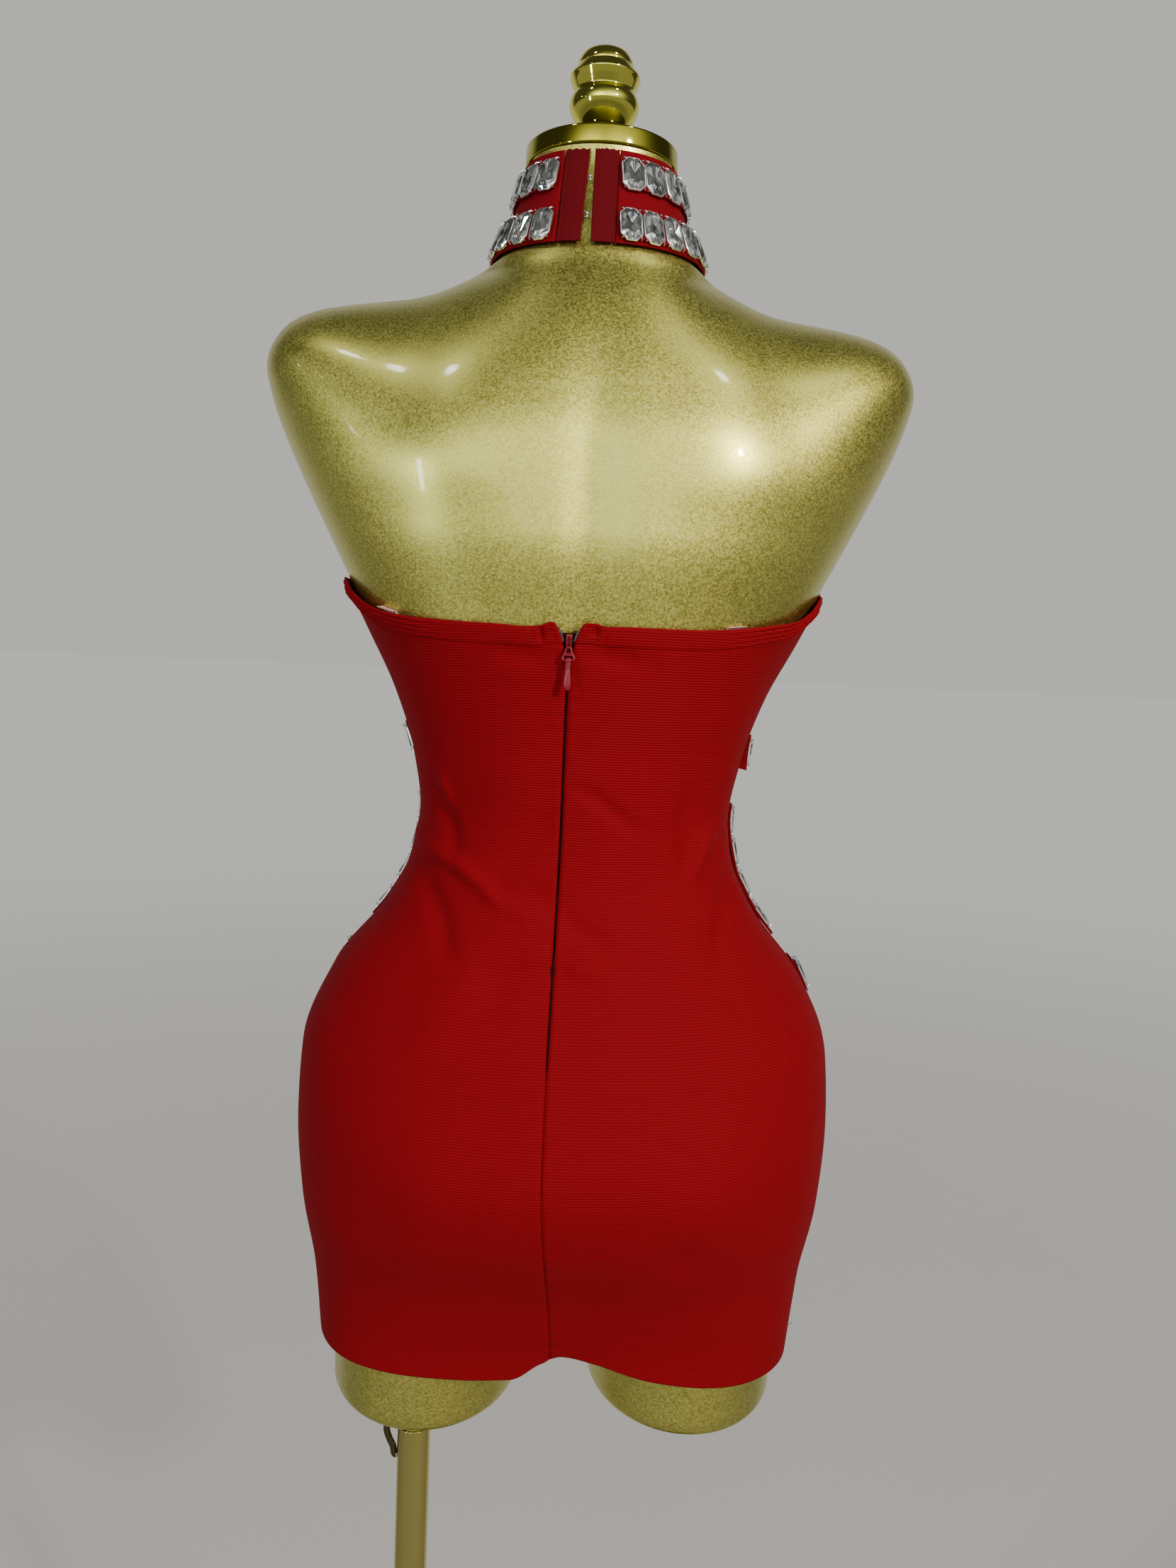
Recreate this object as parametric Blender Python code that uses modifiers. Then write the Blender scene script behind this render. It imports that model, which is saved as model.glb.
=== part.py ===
"""A halter bodycon dress worn by a limbless dress form on a round stand.

The dress opens down the back, which faces +Y. Angles around the figure are measured
from +Y towards +X, so the wearer's left side is at +90 degrees. Heights in the tables
are above the cut faces of the thigh stubs.
"""

import math
from collections import namedtuple

import bmesh
import bpy
from mathutils import Vector

formBaseHeight = 0.720  # thigh cut faces above the floor
formTop = 0.7589

# The figure
Section = namedtuple("Section", "height halfWidth back front squareness")
bodySections = [
    Section(0.000, 0.1448, 0.070, 0.0915, 3.4),
    Section(0.045, 0.1468, 0.073, 0.0930, 3.4),
    Section(0.090, 0.1512, 0.084, 0.0955, 3.1),
    Section(0.140, 0.1601, 0.103, 0.0965, 2.7),
    Section(0.185, 0.1645, 0.110, 0.094, 2.4),
    Section(0.230, 0.1620, 0.103, 0.094, 2.3),
    Section(0.275, 0.1440, 0.087, 0.090, 2.2),
    Section(0.315, 0.1130, 0.073, 0.084, 2.2),
    Section(0.345, 0.0978, 0.066, 0.079, 2.2),
    Section(0.375, 0.0927, 0.064, 0.076, 2.2),
    Section(0.410, 0.0982, 0.067, 0.078, 2.2),
    Section(0.450, 0.1115, 0.075, 0.084, 2.2),
    Section(0.490, 0.1310, 0.084, 0.089, 2.2),
    Section(0.540, 0.1562, 0.091, 0.090, 2.2),
    Section(0.590, 0.1808, 0.091, 0.083, 2.3),
    Section(0.620, 0.1952, 0.087, 0.077, 2.3),
    Section(0.645, 0.2080, 0.081, 0.070, 2.2),
    Section(0.670, 0.1900, 0.072, 0.062, 2.1),
    Section(0.688, 0.1150, 0.062, 0.056, 2.0),
    Section(0.700, 0.0620, 0.054, 0.054, 2.0),
    Section(0.715, 0.0545, 0.049, 0.053, 2.0),
    Section(0.730, 0.0483, 0.043, 0.051, 2.0),
    Section(0.752, 0.0432, 0.038, 0.049, 2.0),
    Section(0.765, 0.0440, 0.0385, 0.0495, 2.0),
]
ShoulderPoint = namedtuple("ShoulderPoint", "across height")
shoulderLine = [  # top of the shoulder from the neck outwards
    ShoulderPoint(0.0000, 0.9500),
    ShoulderPoint(0.0500, 0.7300),
    ShoulderPoint(0.0640, 0.7000),
    ShoulderPoint(0.0780, 0.6900),
    ShoulderPoint(0.0910, 0.6835),
    ShoulderPoint(0.1040, 0.6790),
    ShoulderPoint(0.1200, 0.6760),
    ShoulderPoint(0.1400, 0.6738),
    ShoulderPoint(0.1570, 0.6709),
    ShoulderPoint(0.1700, 0.6671),
    ShoulderPoint(0.1815, 0.6610),
    ShoulderPoint(0.1890, 0.6528),
    ShoulderPoint(0.1950, 0.6415),
    ShoulderPoint(0.1990, 0.6250),
    ShoulderPoint(0.2200, 0.4000),
]
shoulderStart = 0.560  # below this the shoulder line has no effect
shoulderRound = 0.045  # radius of the shoulder line's rounding, front to back
shoulderBlend = 24.0  # a higher value makes a tighter edge round the shoulder
Relief = namedtuple("Relief", "height across facing spreadUp spreadAcross amount")
spine = Relief(0.490, 0.000, +1, 0.120, 0.016, -0.0050)
shoulderBlade = Relief(0.585, 0.075, +1, 0.050, 0.036, 0.0060)
seat = Relief(0.165, 0.065, +1, 0.045, 0.045, 0.0080)
chest = Relief(0.482, 0.070, -1, 0.060, 0.054, 0.0210)
bodyReliefs = [spine, shoulderBlade, seat, chest]
smallOfBackEase = Relief(0.395, 0.030, +1, 0.050, 0.030, 0.0035)
seatHollow = Relief(0.030, 0.000, +1, 0.070, 0.034, -0.0040)
chestEase = Relief(0.485, 0.070, -1, 0.080, 0.060, 0.0010)
clothReliefs = [smallOfBackEase, chestEase]

crotchHeight = 0.107
thighDepthCentre = -0.010
Thigh = namedtuple("Thigh", "height across halfWidth halfDepth")
thighSections = [
    Thigh(-0.002, 0.0838, 0.0605, 0.0750),
    Thigh(0.060, 0.0838, 0.0612, 0.0750),
    Thigh(0.110, 0.0830, 0.0630, 0.0745),
    Thigh(0.170, 0.0800, 0.0640, 0.0720),
]
Underside = namedtuple("Underside", "height share")
undersideRings = [  # the torso closes in below its foot, between the thighs
    Underside(crotchHeight, 0.42),
    Underside(0.112, 0.62),
    Underside(0.122, 0.80),
]
torsoFoot = 0.140
evenRowsTop = 0.635
formRowPitch = 0.019
shoulderRows = [
    0.650, 0.658, 0.664, 0.669, 0.673, 0.677, 0.682, 0.688, 0.695, 0.702, 0.712, 0.730, 0.752, formTop,
]
formColumns = 42
backCrowding = 0.3
thighColumns = 28

# Cloth: walls stand clear of the form, and pieces lie a seam gap apart
clothGap = 0.0017
clothThickness = 0.0014
seamGap = 0.0003
twist = math.radians(5.0)  # the dress has turned on the form towards the wearer's left
sideSeam = math.radians(90.0)
frontColumns, frontRows, frontCrowding = 26, 34, 1.2
backColumns, backRows = 13, 24

EdgePoint = namedtuple("EdgePoint", "position value")
hemHeights = [  # angle around in degrees, height of the hem
    EdgePoint(-180, 0.0450),
    EdgePoint(-115, 0.0450),
    EdgePoint(-85, 0.0385),
    EdgePoint(-60, 0.0330),
    EdgePoint(-40, 0.0395),
    EdgePoint(-18, 0.0515),
    EdgePoint(-2, 0.0555),
    EdgePoint(8, 0.0500),
    EdgePoint(22, 0.0392),
    EdgePoint(45, 0.0398),
    EdgePoint(90, 0.0415),
    EdgePoint(120, 0.0450),
    EdgePoint(180, 0.0450),
]
backTopHeights = [  # angle around in degrees, height of the back's top edge
    EdgePoint(-90, 0.5120),
    EdgePoint(-68, 0.5020),
    EdgePoint(-45, 0.4950),
    EdgePoint(-15, 0.4905),
    EdgePoint(0, 0.4905),
    EdgePoint(35, 0.4890),
    EdgePoint(55, 0.4910),
    EdgePoint(70, 0.4975),
    EdgePoint(95, 0.5120),
]
backSeamOffsets = [  # height, distance of the centre back seam towards the wearer's left
    EdgePoint(0.045, 0.0045),
    EdgePoint(0.190, 0.0140),
    EdgePoint(0.377, 0.0100),
    EdgePoint(0.500, 0.0100),
]
zipOpening = [  # height, half width of the opening above the slider
    EdgePoint(0.470, 0.0000),
    EdgePoint(0.477, 0.0024),
    EdgePoint(0.491, 0.0080),
]
halterEdge = [  # height, angle of the front's side edge from the back centre
    EdgePoint(0.512, 90.0),
    EdgePoint(0.540, 106.0),
    EdgePoint(0.580, 117.0),
    EdgePoint(0.640, 124.0),
    EdgePoint(0.685, 122.0),
    EdgePoint(0.700, 112.0),
]

# Collar
collarBottom = 0.6988
collarSeam = 0.0010  # measured up the figure, where the collar turns away from the front
collarTop = 0.7555
collarSlitBottom = (0.0062, 0.0135)
collarSlitTop = (0.0056, 0.0086)
collarEndWidth = 0.0130
collarColumns, collarRows = 36, 6
StoneRow = namedtuple("StoneRow", "name height count")
collarStoneRows = [
    StoneRow("collar_stones_lower", 0.7095, 23),
    StoneRow("collar_stones_upper", 0.7404, 18),
]
stoneLength = 0.0190
stoneWidth = 0.0135
stoneGap = 0.0010
stoneHeight = 0.0030
stoneCorner = 0.0036
stoneCrownInset = 0.0026
stoneBacking = 0.0007
stoneRowLift = 0.0011  # flat backs bridge the round of the cloth
stoneRowMargin = 0.0015
stoneRowSamples = 60

# Side trims: strips of stones laid end to end at the waist
Trim = namedtuple("Trim", "name middle count lift rightFlare")
sideTrims = [  # rightFlare is how far the lower end stands off on the right side
    Trim("upper", 0.4163, 1, 0.0003, 0.0042),
    Trim("middle", 0.3400, 4, 0.0011, 0.0),
    Trim("lower", 0.2725, 1, 0.0003, 0.0),
]
trimAngle = math.radians(95.0)
trimPitch = 0.0225

# Zip
zipBottom = 0.236
tapeWidth = 0.022
tapeThickness = 0.0005
tapeSetBack = 0.0060
sliderBottom = 0.4765
sliderHeight = 0.0082
sliderWidth = 0.0037
sliderDepth = 0.0022
bailWire = 0.00035
bailReach = 0.0020
bailHeight = 0.0013
ringWire = 0.00030
ringHeight = 0.0068
ringHalfWidth = 0.0033
ringTopHalfWidth = 0.0011
ringCorner = 0.0008
ringBarShare = 0.52  # how far down the ring its bar lies
ringBarWire = 0.00024
dropEyeRadius = 0.0015
dropEyeBore = 0.0009
dropEyeLength = 0.0028
dropLength = 0.0168
dropWidth = 0.0039
dropThickness = 0.0014
dropOutline = [  # share of the half width, share of the way down
    (-0.72, 0.00),
    (0.72, 0.00),
    (0.61, 0.20),
    (1.00, 0.55),
    (0.92, 0.86),
    (0.45, 0.98),
    (-0.45, 0.98),
    (-0.92, 0.86),
    (-1.00, 0.55),
    (-0.61, 0.20),
]
dropLayers = [(-0.5, 0.8), (-0.3, 1.0), (0.3, 1.0), (0.5, 0.8)]  # share of the depth, share of the width

# Collar fastenings
Fastening = namedtuple("Fastening", "name height")
fastenings = [Fastening("upper", 0.7385), Fastening("lower", 0.7155)]
fasteningWire = 0.0003
eyeRise = 0.0013

# Hanger tapes that show above the top edge
hangerTapeWidth = 0.010
hangerTapeRise = 0.0025
hangerTapeHidden = 0.030
hangerTapeAngles = {"left": 67.0, "right": -47.0}

# Neck cap, finial and stand
neckAxis = -0.0055
capBottom = 0.7592
capHeight = 0.0108
capRadius = 0.0455
finialProfile = [  # radius, height above the cap
    (0.0150, 0.0003),
    (0.0150, 0.0060),
    (0.0140, 0.0100),
    (0.0150, 0.0145),
    (0.0183, 0.0190),
    (0.0204, 0.0225),
    (0.0209, 0.0262),
    (0.0204, 0.0310),
    (0.0188, 0.0359),
    (0.0204, 0.0395),
    (0.0209, 0.0440),
    (0.0200, 0.0475),
    (0.0170, 0.0488),
    (0.0165, 0.0515),
    (0.0138, 0.0548),
    (0.0078, 0.0570),
    (0.0000, 0.0576),
]
poleX, poleY = 0.0915, -0.010
tubeRadius = 0.0111
tubeWall = 0.0010
tubeTop = 0.6730
rodRadius = 0.0098
rodBottom = 0.3600
rodTop = 0.8900
socketClearance = 0.0003
basePlateRadius = 0.2100
basePlateHeight = 0.0080
flangeProfile = [  # radius, height above the plate
    (0.0116, 0.0),
    (0.034, 0.0),
    (0.034, 0.004),
    (0.020, 0.008),
    (0.0165, 0.028),
    (0.0116, 0.028),
]
clampHeight = 0.6500
clampWire = 0.0022
clampPath = [  # distance from the tube, height
    (0.0000, 0.0000),
    (0.0030, 0.0000),
    (0.0055, 0.0060),
    (0.0090, 0.0130),
    (0.0100, 0.0190),
    (0.0085, 0.0270),
]

collection = None


# ---------------------------------------------------------------- scene helpers
def clearScene():
    for thing in list(bpy.data.objects):
        bpy.data.objects.remove(thing, do_unlink=True)


def newCollection(name):
    made = bpy.data.collections.new(name)
    bpy.context.scene.collection.children.link(made)
    return made


def material(name, colour, roughness, metallic=0.0, transmission=0.0):
    made = bpy.data.materials.get(name)
    if made:
        return made
    made = bpy.data.materials.new(name)
    made.use_nodes = True
    shader = made.node_tree.nodes["Principled BSDF"]
    shader.inputs["Base Color"].default_value = (*colour, 1.0)
    shader.inputs["Roughness"].default_value = roughness
    shader.inputs["Metallic"].default_value = metallic
    shader.inputs["Transmission Weight"].default_value = transmission
    return made


def redKnit():
    return material("red bandage knit", (0.42, 0.008, 0.010), 0.75)


def goldPaint():
    return material("gold paint", (0.36, 0.29, 0.09), 0.30, 0.6)


def polishedGold():
    return material("polished gold", (0.70, 0.60, 0.16), 0.10, 1.0)


def silver():
    return material("silver plate", (0.80, 0.80, 0.80), 0.15, 1.0)


def crystal():
    return material("clear crystal", (0.86, 0.88, 0.90), 0.05, 0.0, 0.6)


def roseEnamel():
    return material("rose enamel", (0.42, 0.045, 0.075), 0.20)


def addObject(name, mesh, look):
    thing = bpy.data.objects.new(name, mesh)
    collection.objects.link(thing)
    thing.data.materials.clear()
    thing.data.materials.append(look)
    return thing


def meshFrom(name, bm):
    bmesh.ops.recalc_face_normals(bm, faces=bm.faces)
    mesh = bpy.data.meshes.new(name)
    bm.to_mesh(mesh)
    bm.free()
    return mesh


def smooth(thing, sharpDegrees=40.0):
    thing.data.shade_smooth()
    thing.data.set_sharp_from_angle(angle=math.radians(sharpDegrees))
    return thing


def boolean(thing, other, operation):
    """Applies a Boolean to the mesh itself, then removes the second object."""
    modifier = thing.modifiers.new("boolean", "BOOLEAN")
    modifier.operation = operation
    modifier.object = other
    evaluated = thing.evaluated_get(bpy.context.evaluated_depsgraph_get())
    result = bpy.data.meshes.new_from_object(evaluated)
    thing.modifiers.clear()
    thing.data = result
    bpy.data.objects.remove(other, do_unlink=True)
    return thing


def wireMesh(name, points, radius, look, cyclic=False, sides=1):
    """A wire along a polyline, as a closed mesh."""
    curve = bpy.data.curves.new(name, "CURVE")
    curve.dimensions = "3D"
    curve.bevel_depth = radius
    curve.bevel_resolution = sides
    curve.use_fill_caps = True
    spline = curve.splines.new("POLY")
    spline.points.add(len(points) - 1)
    for place, point in zip(spline.points, points):
        place.co = (*point, 1.0)
    spline.use_cyclic_u = cyclic
    guide = addObject(name + "_path", curve, look)
    evaluated = guide.evaluated_get(bpy.context.evaluated_depsgraph_get())
    mesh = bpy.data.meshes.new_from_object(evaluated)
    bpy.data.objects.remove(guide, do_unlink=True)
    bm = bmesh.new()
    bm.from_mesh(mesh)
    bmesh.ops.remove_doubles(bm, verts=bm.verts, dist=1e-6)
    return addObject(name, meshFrom(name, bm), look)


def turned(name, profile, look, centre, baseHeight, steps=32):
    """A solid turned about a vertical axis from (radius, height) pairs, lowest first."""
    bm = bmesh.new()
    corners = [bm.verts.new((radius, 0.0, height)) for radius, height in reversed(profile)]
    for first, second in zip(corners, corners[1:]):
        bm.edges.new((first, second))
    closed = profile[0][0] > 0.0 and profile[-1][0] > 0.0
    if closed:
        bm.edges.new((corners[-1], corners[0]))
    mesh = bpy.data.meshes.new(name)
    bm.to_mesh(mesh)
    bm.free()
    thing = addObject(name, mesh, look)
    thing.location = (centre[0], centre[1], baseHeight)
    screw = thing.modifiers.new("turn", "SCREW")
    screw.steps = screw.render_steps = steps
    screw.use_merge_vertices = True
    screw.merge_threshold = 0.00001
    return thing


# ---------------------------------------------------------------- the figure's surface
def between(table, position):
    """Smooth value from a table of positions and values, without overshoot."""
    places = [row[0] for row in table]
    columns = list(zip(*[row[1:] for row in table]))
    if position <= places[0]:
        return [column[0] for column in columns]
    if position >= places[-1]:
        return [column[-1] for column in columns]
    index = max(i for i, place in enumerate(places) if place <= position)
    width = places[index + 1] - places[index]
    part = (position - places[index]) / width
    return [hermite(places, column, index, part, width) for column in columns]


def hermite(places, values, index, part, width):
    start, end = values[index], values[index + 1]
    startSlope = tableSlope(places, values, index)
    endSlope = tableSlope(places, values, index + 1)
    square, cube = part * part, part * part * part
    return (
        (2 * cube - 3 * square + 1) * start
        + (cube - 2 * square + part) * width * startSlope
        + (3 * square - 2 * cube) * end
        + (cube - square) * width * endSlope
    )


def tableSlope(places, values, index):
    if index == 0 or index == len(places) - 1:
        return 0.0
    below = (values[index] - values[index - 1]) / (places[index] - places[index - 1])
    above = (values[index + 1] - values[index]) / (places[index + 1] - places[index])
    if below * above <= 0.0:
        return 0.0
    return 2.0 * below * above / (below + above)


def reliefAmount(relief, height, across, facing, bridged):
    """Height of a mound or hollow. Bridged cloth runs straight across between two mounds."""
    if facing * relief.facing <= 0.0:
        return 0.0
    aside = abs(across) - relief.across
    if bridged:
        aside = max(aside, 0.0)
    up = (height - relief.height) / relief.spreadUp
    side = aside / relief.spreadAcross
    return relief.amount * math.exp(-up * up - side * side) * min(1.0, abs(facing) * 3.0)


def shoulderRadius(height, sine, cosine):
    """How far out the rounded shoulder top still reaches this height."""
    near, far = 0.0, 0.30
    for _ in range(14):
        middle = 0.5 * (near + far)
        fall = (middle * cosine) ** 2 / (2.0 * shoulderRound)
        if between(shoulderLine, middle * sine)[0] - fall > height:
            near = middle
        else:
            far = middle
    return 0.5 * (near + far)


def surfaceRadius(height, angle, clothed):
    halfWidth, back, front, squareness = between(bodySections, height)
    depth = back if math.cos(angle) >= 0.0 else front
    sine, cosine = abs(math.sin(angle)), abs(math.cos(angle))
    radius = ((sine / halfWidth) ** squareness + (cosine / depth) ** squareness) ** (-1.0 / squareness)
    if height > shoulderStart:
        top = shoulderRadius(height, sine, cosine)
        radius = (radius**-shoulderBlend + top**-shoulderBlend) ** (-1.0 / shoulderBlend)
    across, facing = radius * math.sin(angle), math.cos(angle)
    if clothed:
        for relief in bodyReliefs + clothReliefs:
            if relief.amount > 0.0:
                radius += reliefAmount(relief, height, across, facing, True)
        if height < crotchHeight:
            share = min(1.0, (crotchHeight - height) / 0.05)
            radius += share * reliefAmount(seatHollow, height, across, facing, False)
    else:
        for relief in bodyReliefs:
            radius += reliefAmount(relief, height, across, facing, False)
    return radius


def onSurface(height, angle, clothed):
    radius = surfaceRadius(height, angle, clothed)
    return Vector((radius * math.sin(angle), radius * math.cos(angle), formBaseHeight + height))


def outwardNormal(height, angle, clothed):
    step, turn = 0.0015, 0.015
    up = onSurface(height + step, angle, clothed) - onSurface(height - step, angle, clothed)
    around = onSurface(height, angle + turn, clothed) - onSurface(height, angle - turn, clothed)
    return up.cross(around).normalized()


def bodyPoint(height, angle, out=0.0, clothed=True):
    return onSurface(height, angle, clothed) + outwardNormal(height, angle, clothed) * out


def angleAcross(height, across, clothed=True):
    """The angle near the back centre whose surface point lies this far to the side."""
    angle = 0.0
    for _ in range(4):
        angle = math.asin(across / surfaceRadius(height, angle, clothed))
    return angle


# ---------------------------------------------------------------- dress form
def buildLoft(name, rings, look):
    """Closed skin over rings of points, lowest first, with flat ends."""
    bm = bmesh.new()
    loops = [[bm.verts.new(point) for point in ring] for ring in rings]
    for lower, upper in zip(loops, loops[1:]):
        for index in range(len(lower)):
            after = (index + 1) % len(lower)
            bm.faces.new((lower[index], lower[after], upper[after], upper[index]))
    bm.faces.new(loops[0])
    bm.faces.new(loops[-1])
    return addObject(name, meshFrom(name, bm), look)


def formAngles():
    """Closer together down the back, where the spine and shoulder blades are."""
    turns = [2.0 * math.pi * index / formColumns for index in range(formColumns)]
    return [turn - backCrowding * math.sin(turn) for turn in turns]


def buildFormBody():
    heights = [torsoFoot]
    while heights[-1] < evenRowsTop:
        heights.append(heights[-1] + formRowPitch)
    heights += shoulderRows
    foot = [onSurface(torsoFoot, angle, False) for angle in formAngles()]
    rings = []
    for height, share in undersideRings:
        rings.append([Vector((point.x * share, point.y * share, formBaseHeight + height)) for point in foot])
    rings += [[onSurface(height, angle, False) for angle in formAngles()] for height in heights]
    body = buildLoft("form_body", rings, goldPaint())
    for side in (1, -1):
        rings = []
        for height, across, halfWidth, halfDepth in thighSections:
            turns = [2.0 * math.pi * index / thighColumns for index in range(thighColumns)]
            rings.append(
                [
                    Vector(
                        (
                            side * across + halfWidth * math.sin(turn),
                            thighDepthCentre + halfDepth * math.cos(turn),
                            formBaseHeight + height,
                        )
                    )
                    for turn in turns
                ]
            )
        boolean(body, buildLoft("thigh", rings, goldPaint()), "UNION")
    bpy.ops.mesh.primitive_cylinder_add(
        vertices=24,
        radius=rodRadius + socketClearance,
        depth=2.0 * (rodTop + socketClearance - formBaseHeight),
        location=(poleX, poleY, formBaseHeight),
    )
    boolean(body, bpy.context.active_object, "DIFFERENCE")
    return smooth(body)


def buildNeckCapAndFinial():
    centre = (0.0, neckAxis)
    bottom = formBaseHeight + capBottom
    rim = 0.0012
    profile = [
        (0.0, 0.0),
        (capRadius - rim, 0.0),
        (capRadius, rim),
        (capRadius, capHeight - rim),
        (capRadius - rim, capHeight),
        (0.0, capHeight),
    ]
    smooth(turned("neck_cap", profile, polishedGold(), centre, bottom, 36), 30.0)
    foot = [(0.0, finialProfile[0][1])] + finialProfile
    smooth(turned("finial", foot, polishedGold(), centre, bottom + capHeight, 20), 30.0)


# ---------------------------------------------------------------- stand
def buildStand():
    pole = (poleX, poleY)
    rim = 0.0025
    plate = [
        (0.0, 0.0),
        (basePlateRadius, 0.0),
        (basePlateRadius, basePlateHeight - rim),
        (basePlateRadius - rim, basePlateHeight),
        (0.0, basePlateHeight),
    ]
    smooth(turned("base_plate", plate, polishedGold(), (0.0, 0.0), 0.0, 64), 30.0)
    flangeHeight = basePlateHeight + seamGap
    smooth(turned("base_flange", flangeProfile, polishedGold(), pole, flangeHeight, 28), 30.0)
    inner = tubeRadius - tubeWall
    length = tubeTop - flangeHeight
    tube = [(inner, 0.0), (tubeRadius, 0.0), (tubeRadius, length), (inner, length)]
    smooth(turned("stand_tube", tube, polishedGold(), pole, flangeHeight, 28), 30.0)
    rod = [(0.0, 0.0), (rodRadius, 0.0), (rodRadius, rodTop - rodBottom), (0.0, rodTop - rodBottom)]
    smooth(turned("stand_rod", rod, polishedGold(), pole, rodBottom, 28), 30.0)


def buildClampScrew():
    """A bent thumb lever that turns on a screw in the side of the tube."""
    start = poleX + tubeRadius + seamGap
    path = [(start + away, poleY, clampHeight + rise) for away, rise in clampPath]
    smooth(wireMesh("clamp_screw", path, clampWire, silver(), sides=2))


# ---------------------------------------------------------------- cloth panels
def clothPanel(name, columns, rows, lowEdge, highEdge, startAngle, endAngle, out, thickness, look, crowding=1.0):
    """A wall that follows the figure.

    lowEdge and highEdge give heights from an angle, startAngle and endAngle give angles
    from a height, so each corner is found by settling the two against each other.
    A crowding above 1 brings the rows closer together towards the top.
    """
    bm = bmesh.new()
    bmesh.ops.create_grid(bm, x_segments=columns, y_segments=rows, size=0.5)
    for vert in bm.verts:
        alongShare = 0.5 - vert.co.x  # runs this way so that the faces point outwards
        upShare = 1.0 - (0.5 - vert.co.y) ** crowding
        angle, height = 0.0, 0.3
        for _ in range(6):
            first, last = startAngle(height), endAngle(height)
            angle = first + (last - first) * alongShare
            low, high = lowEdge(angle), highEdge(angle)
            height = low + (high - low) * upShare
        vert.co = bodyPoint(height, angle, out)
    bmesh.ops.triangulate(bm, faces=bm.faces[:], quad_method="SHORT_EDGE")
    mesh = bpy.data.meshes.new(name)
    bm.to_mesh(mesh)
    bm.free()
    panel = addObject(name, mesh, look)
    wall = panel.modifiers.new("wall", "SOLIDIFY")
    wall.thickness = thickness
    wall.offset = 1.0
    wall.use_even_offset = True
    return smooth(panel)


def hemHeight(angle):
    degrees = (math.degrees(angle) + 180.0) % 360.0 - 180.0
    return between(hemHeights, degrees)[0]


def backTop(angle):
    return between(backTopHeights, math.degrees(angle))[0]


def seamTurn(height, gap=seamGap):
    """Half a seam gap as an angle at the side seam."""
    return 0.5 * gap / between(bodySections, height)[0]


def backSeamAngle(height, side):
    """Edge of a back panel: half a seam gap from the seam, opening out above the slider."""
    offset = between(backSeamOffsets, height)[0]
    opening = between(zipOpening, height)[0]
    return angleAcross(height, offset + side * (0.5 * seamGap + opening))


def halterAngle(height):
    return math.radians(between(halterEdge, height)[0])


def buildFront():
    """Hem to collar; above the underarm the side edges follow the halter line."""

    def leftEdge(height):
        return halterAngle(height) + twist + seamTurn(height)

    def rightEdge(height):
        return 2.0 * math.pi - halterAngle(height) + twist - seamTurn(height)

    def top(angle):
        return collarBottom - collarSeam

    arguments = (clothGap, clothThickness, redKnit(), frontCrowding)
    clothPanel("front", frontColumns, frontRows, hemHeight, top, leftEdge, rightEdge, *arguments)


def buildBacks():
    def leftSide(height):
        return sideSeam + twist - seamTurn(height)

    def rightSide(height):
        return -sideSeam + twist + seamTurn(height)

    def leftSeam(height):
        return backSeamAngle(height, 1)

    def rightSeam(height):
        return backSeamAngle(height, -1)

    arguments = (clothGap, clothThickness, redKnit())
    clothPanel("back_left", backColumns, backRows, hemHeight, backTop, leftSeam, leftSide, *arguments)
    clothPanel("back_right", backColumns, backRows, hemHeight, backTop, rightSide, rightSeam, *arguments)


def slitEdge(height, side, extra=0.0):
    """Angle of the collar opening's edge, moved outwards by extra."""
    share = (height - collarBottom) / (collarTop - collarBottom)
    index = 1 if side > 0 else 0
    across = collarSlitBottom[index] + (collarSlitTop[index] - collarSlitBottom[index]) * share
    return angleAcross(height, across + side * extra)


def buildCollar():
    def bottom(angle):
        return collarBottom

    def top(angle):
        return collarTop

    def bandStart(height):
        return slitEdge(height, 1, collarEndWidth + seamGap)

    def bandEnd(height):
        return 2.0 * math.pi + slitEdge(height, -1, collarEndWidth + seamGap)

    def leftStart(height):
        return slitEdge(height, 1)

    def leftEnd(height):
        return slitEdge(height, 1, collarEndWidth)

    def rightStart(height):
        return slitEdge(height, -1, collarEndWidth)

    def rightEnd(height):
        return slitEdge(height, -1)

    wall = (clothGap, clothThickness, redKnit())
    clothPanel("collar", collarColumns, collarRows, bottom, top, bandStart, bandEnd, *wall)
    clothPanel("collar_end_left", 3, collarRows, bottom, top, leftStart, leftEnd, *wall)
    clothPanel("collar_end_right", 3, collarRows, bottom, top, rightStart, rightEnd, *wall)


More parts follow.
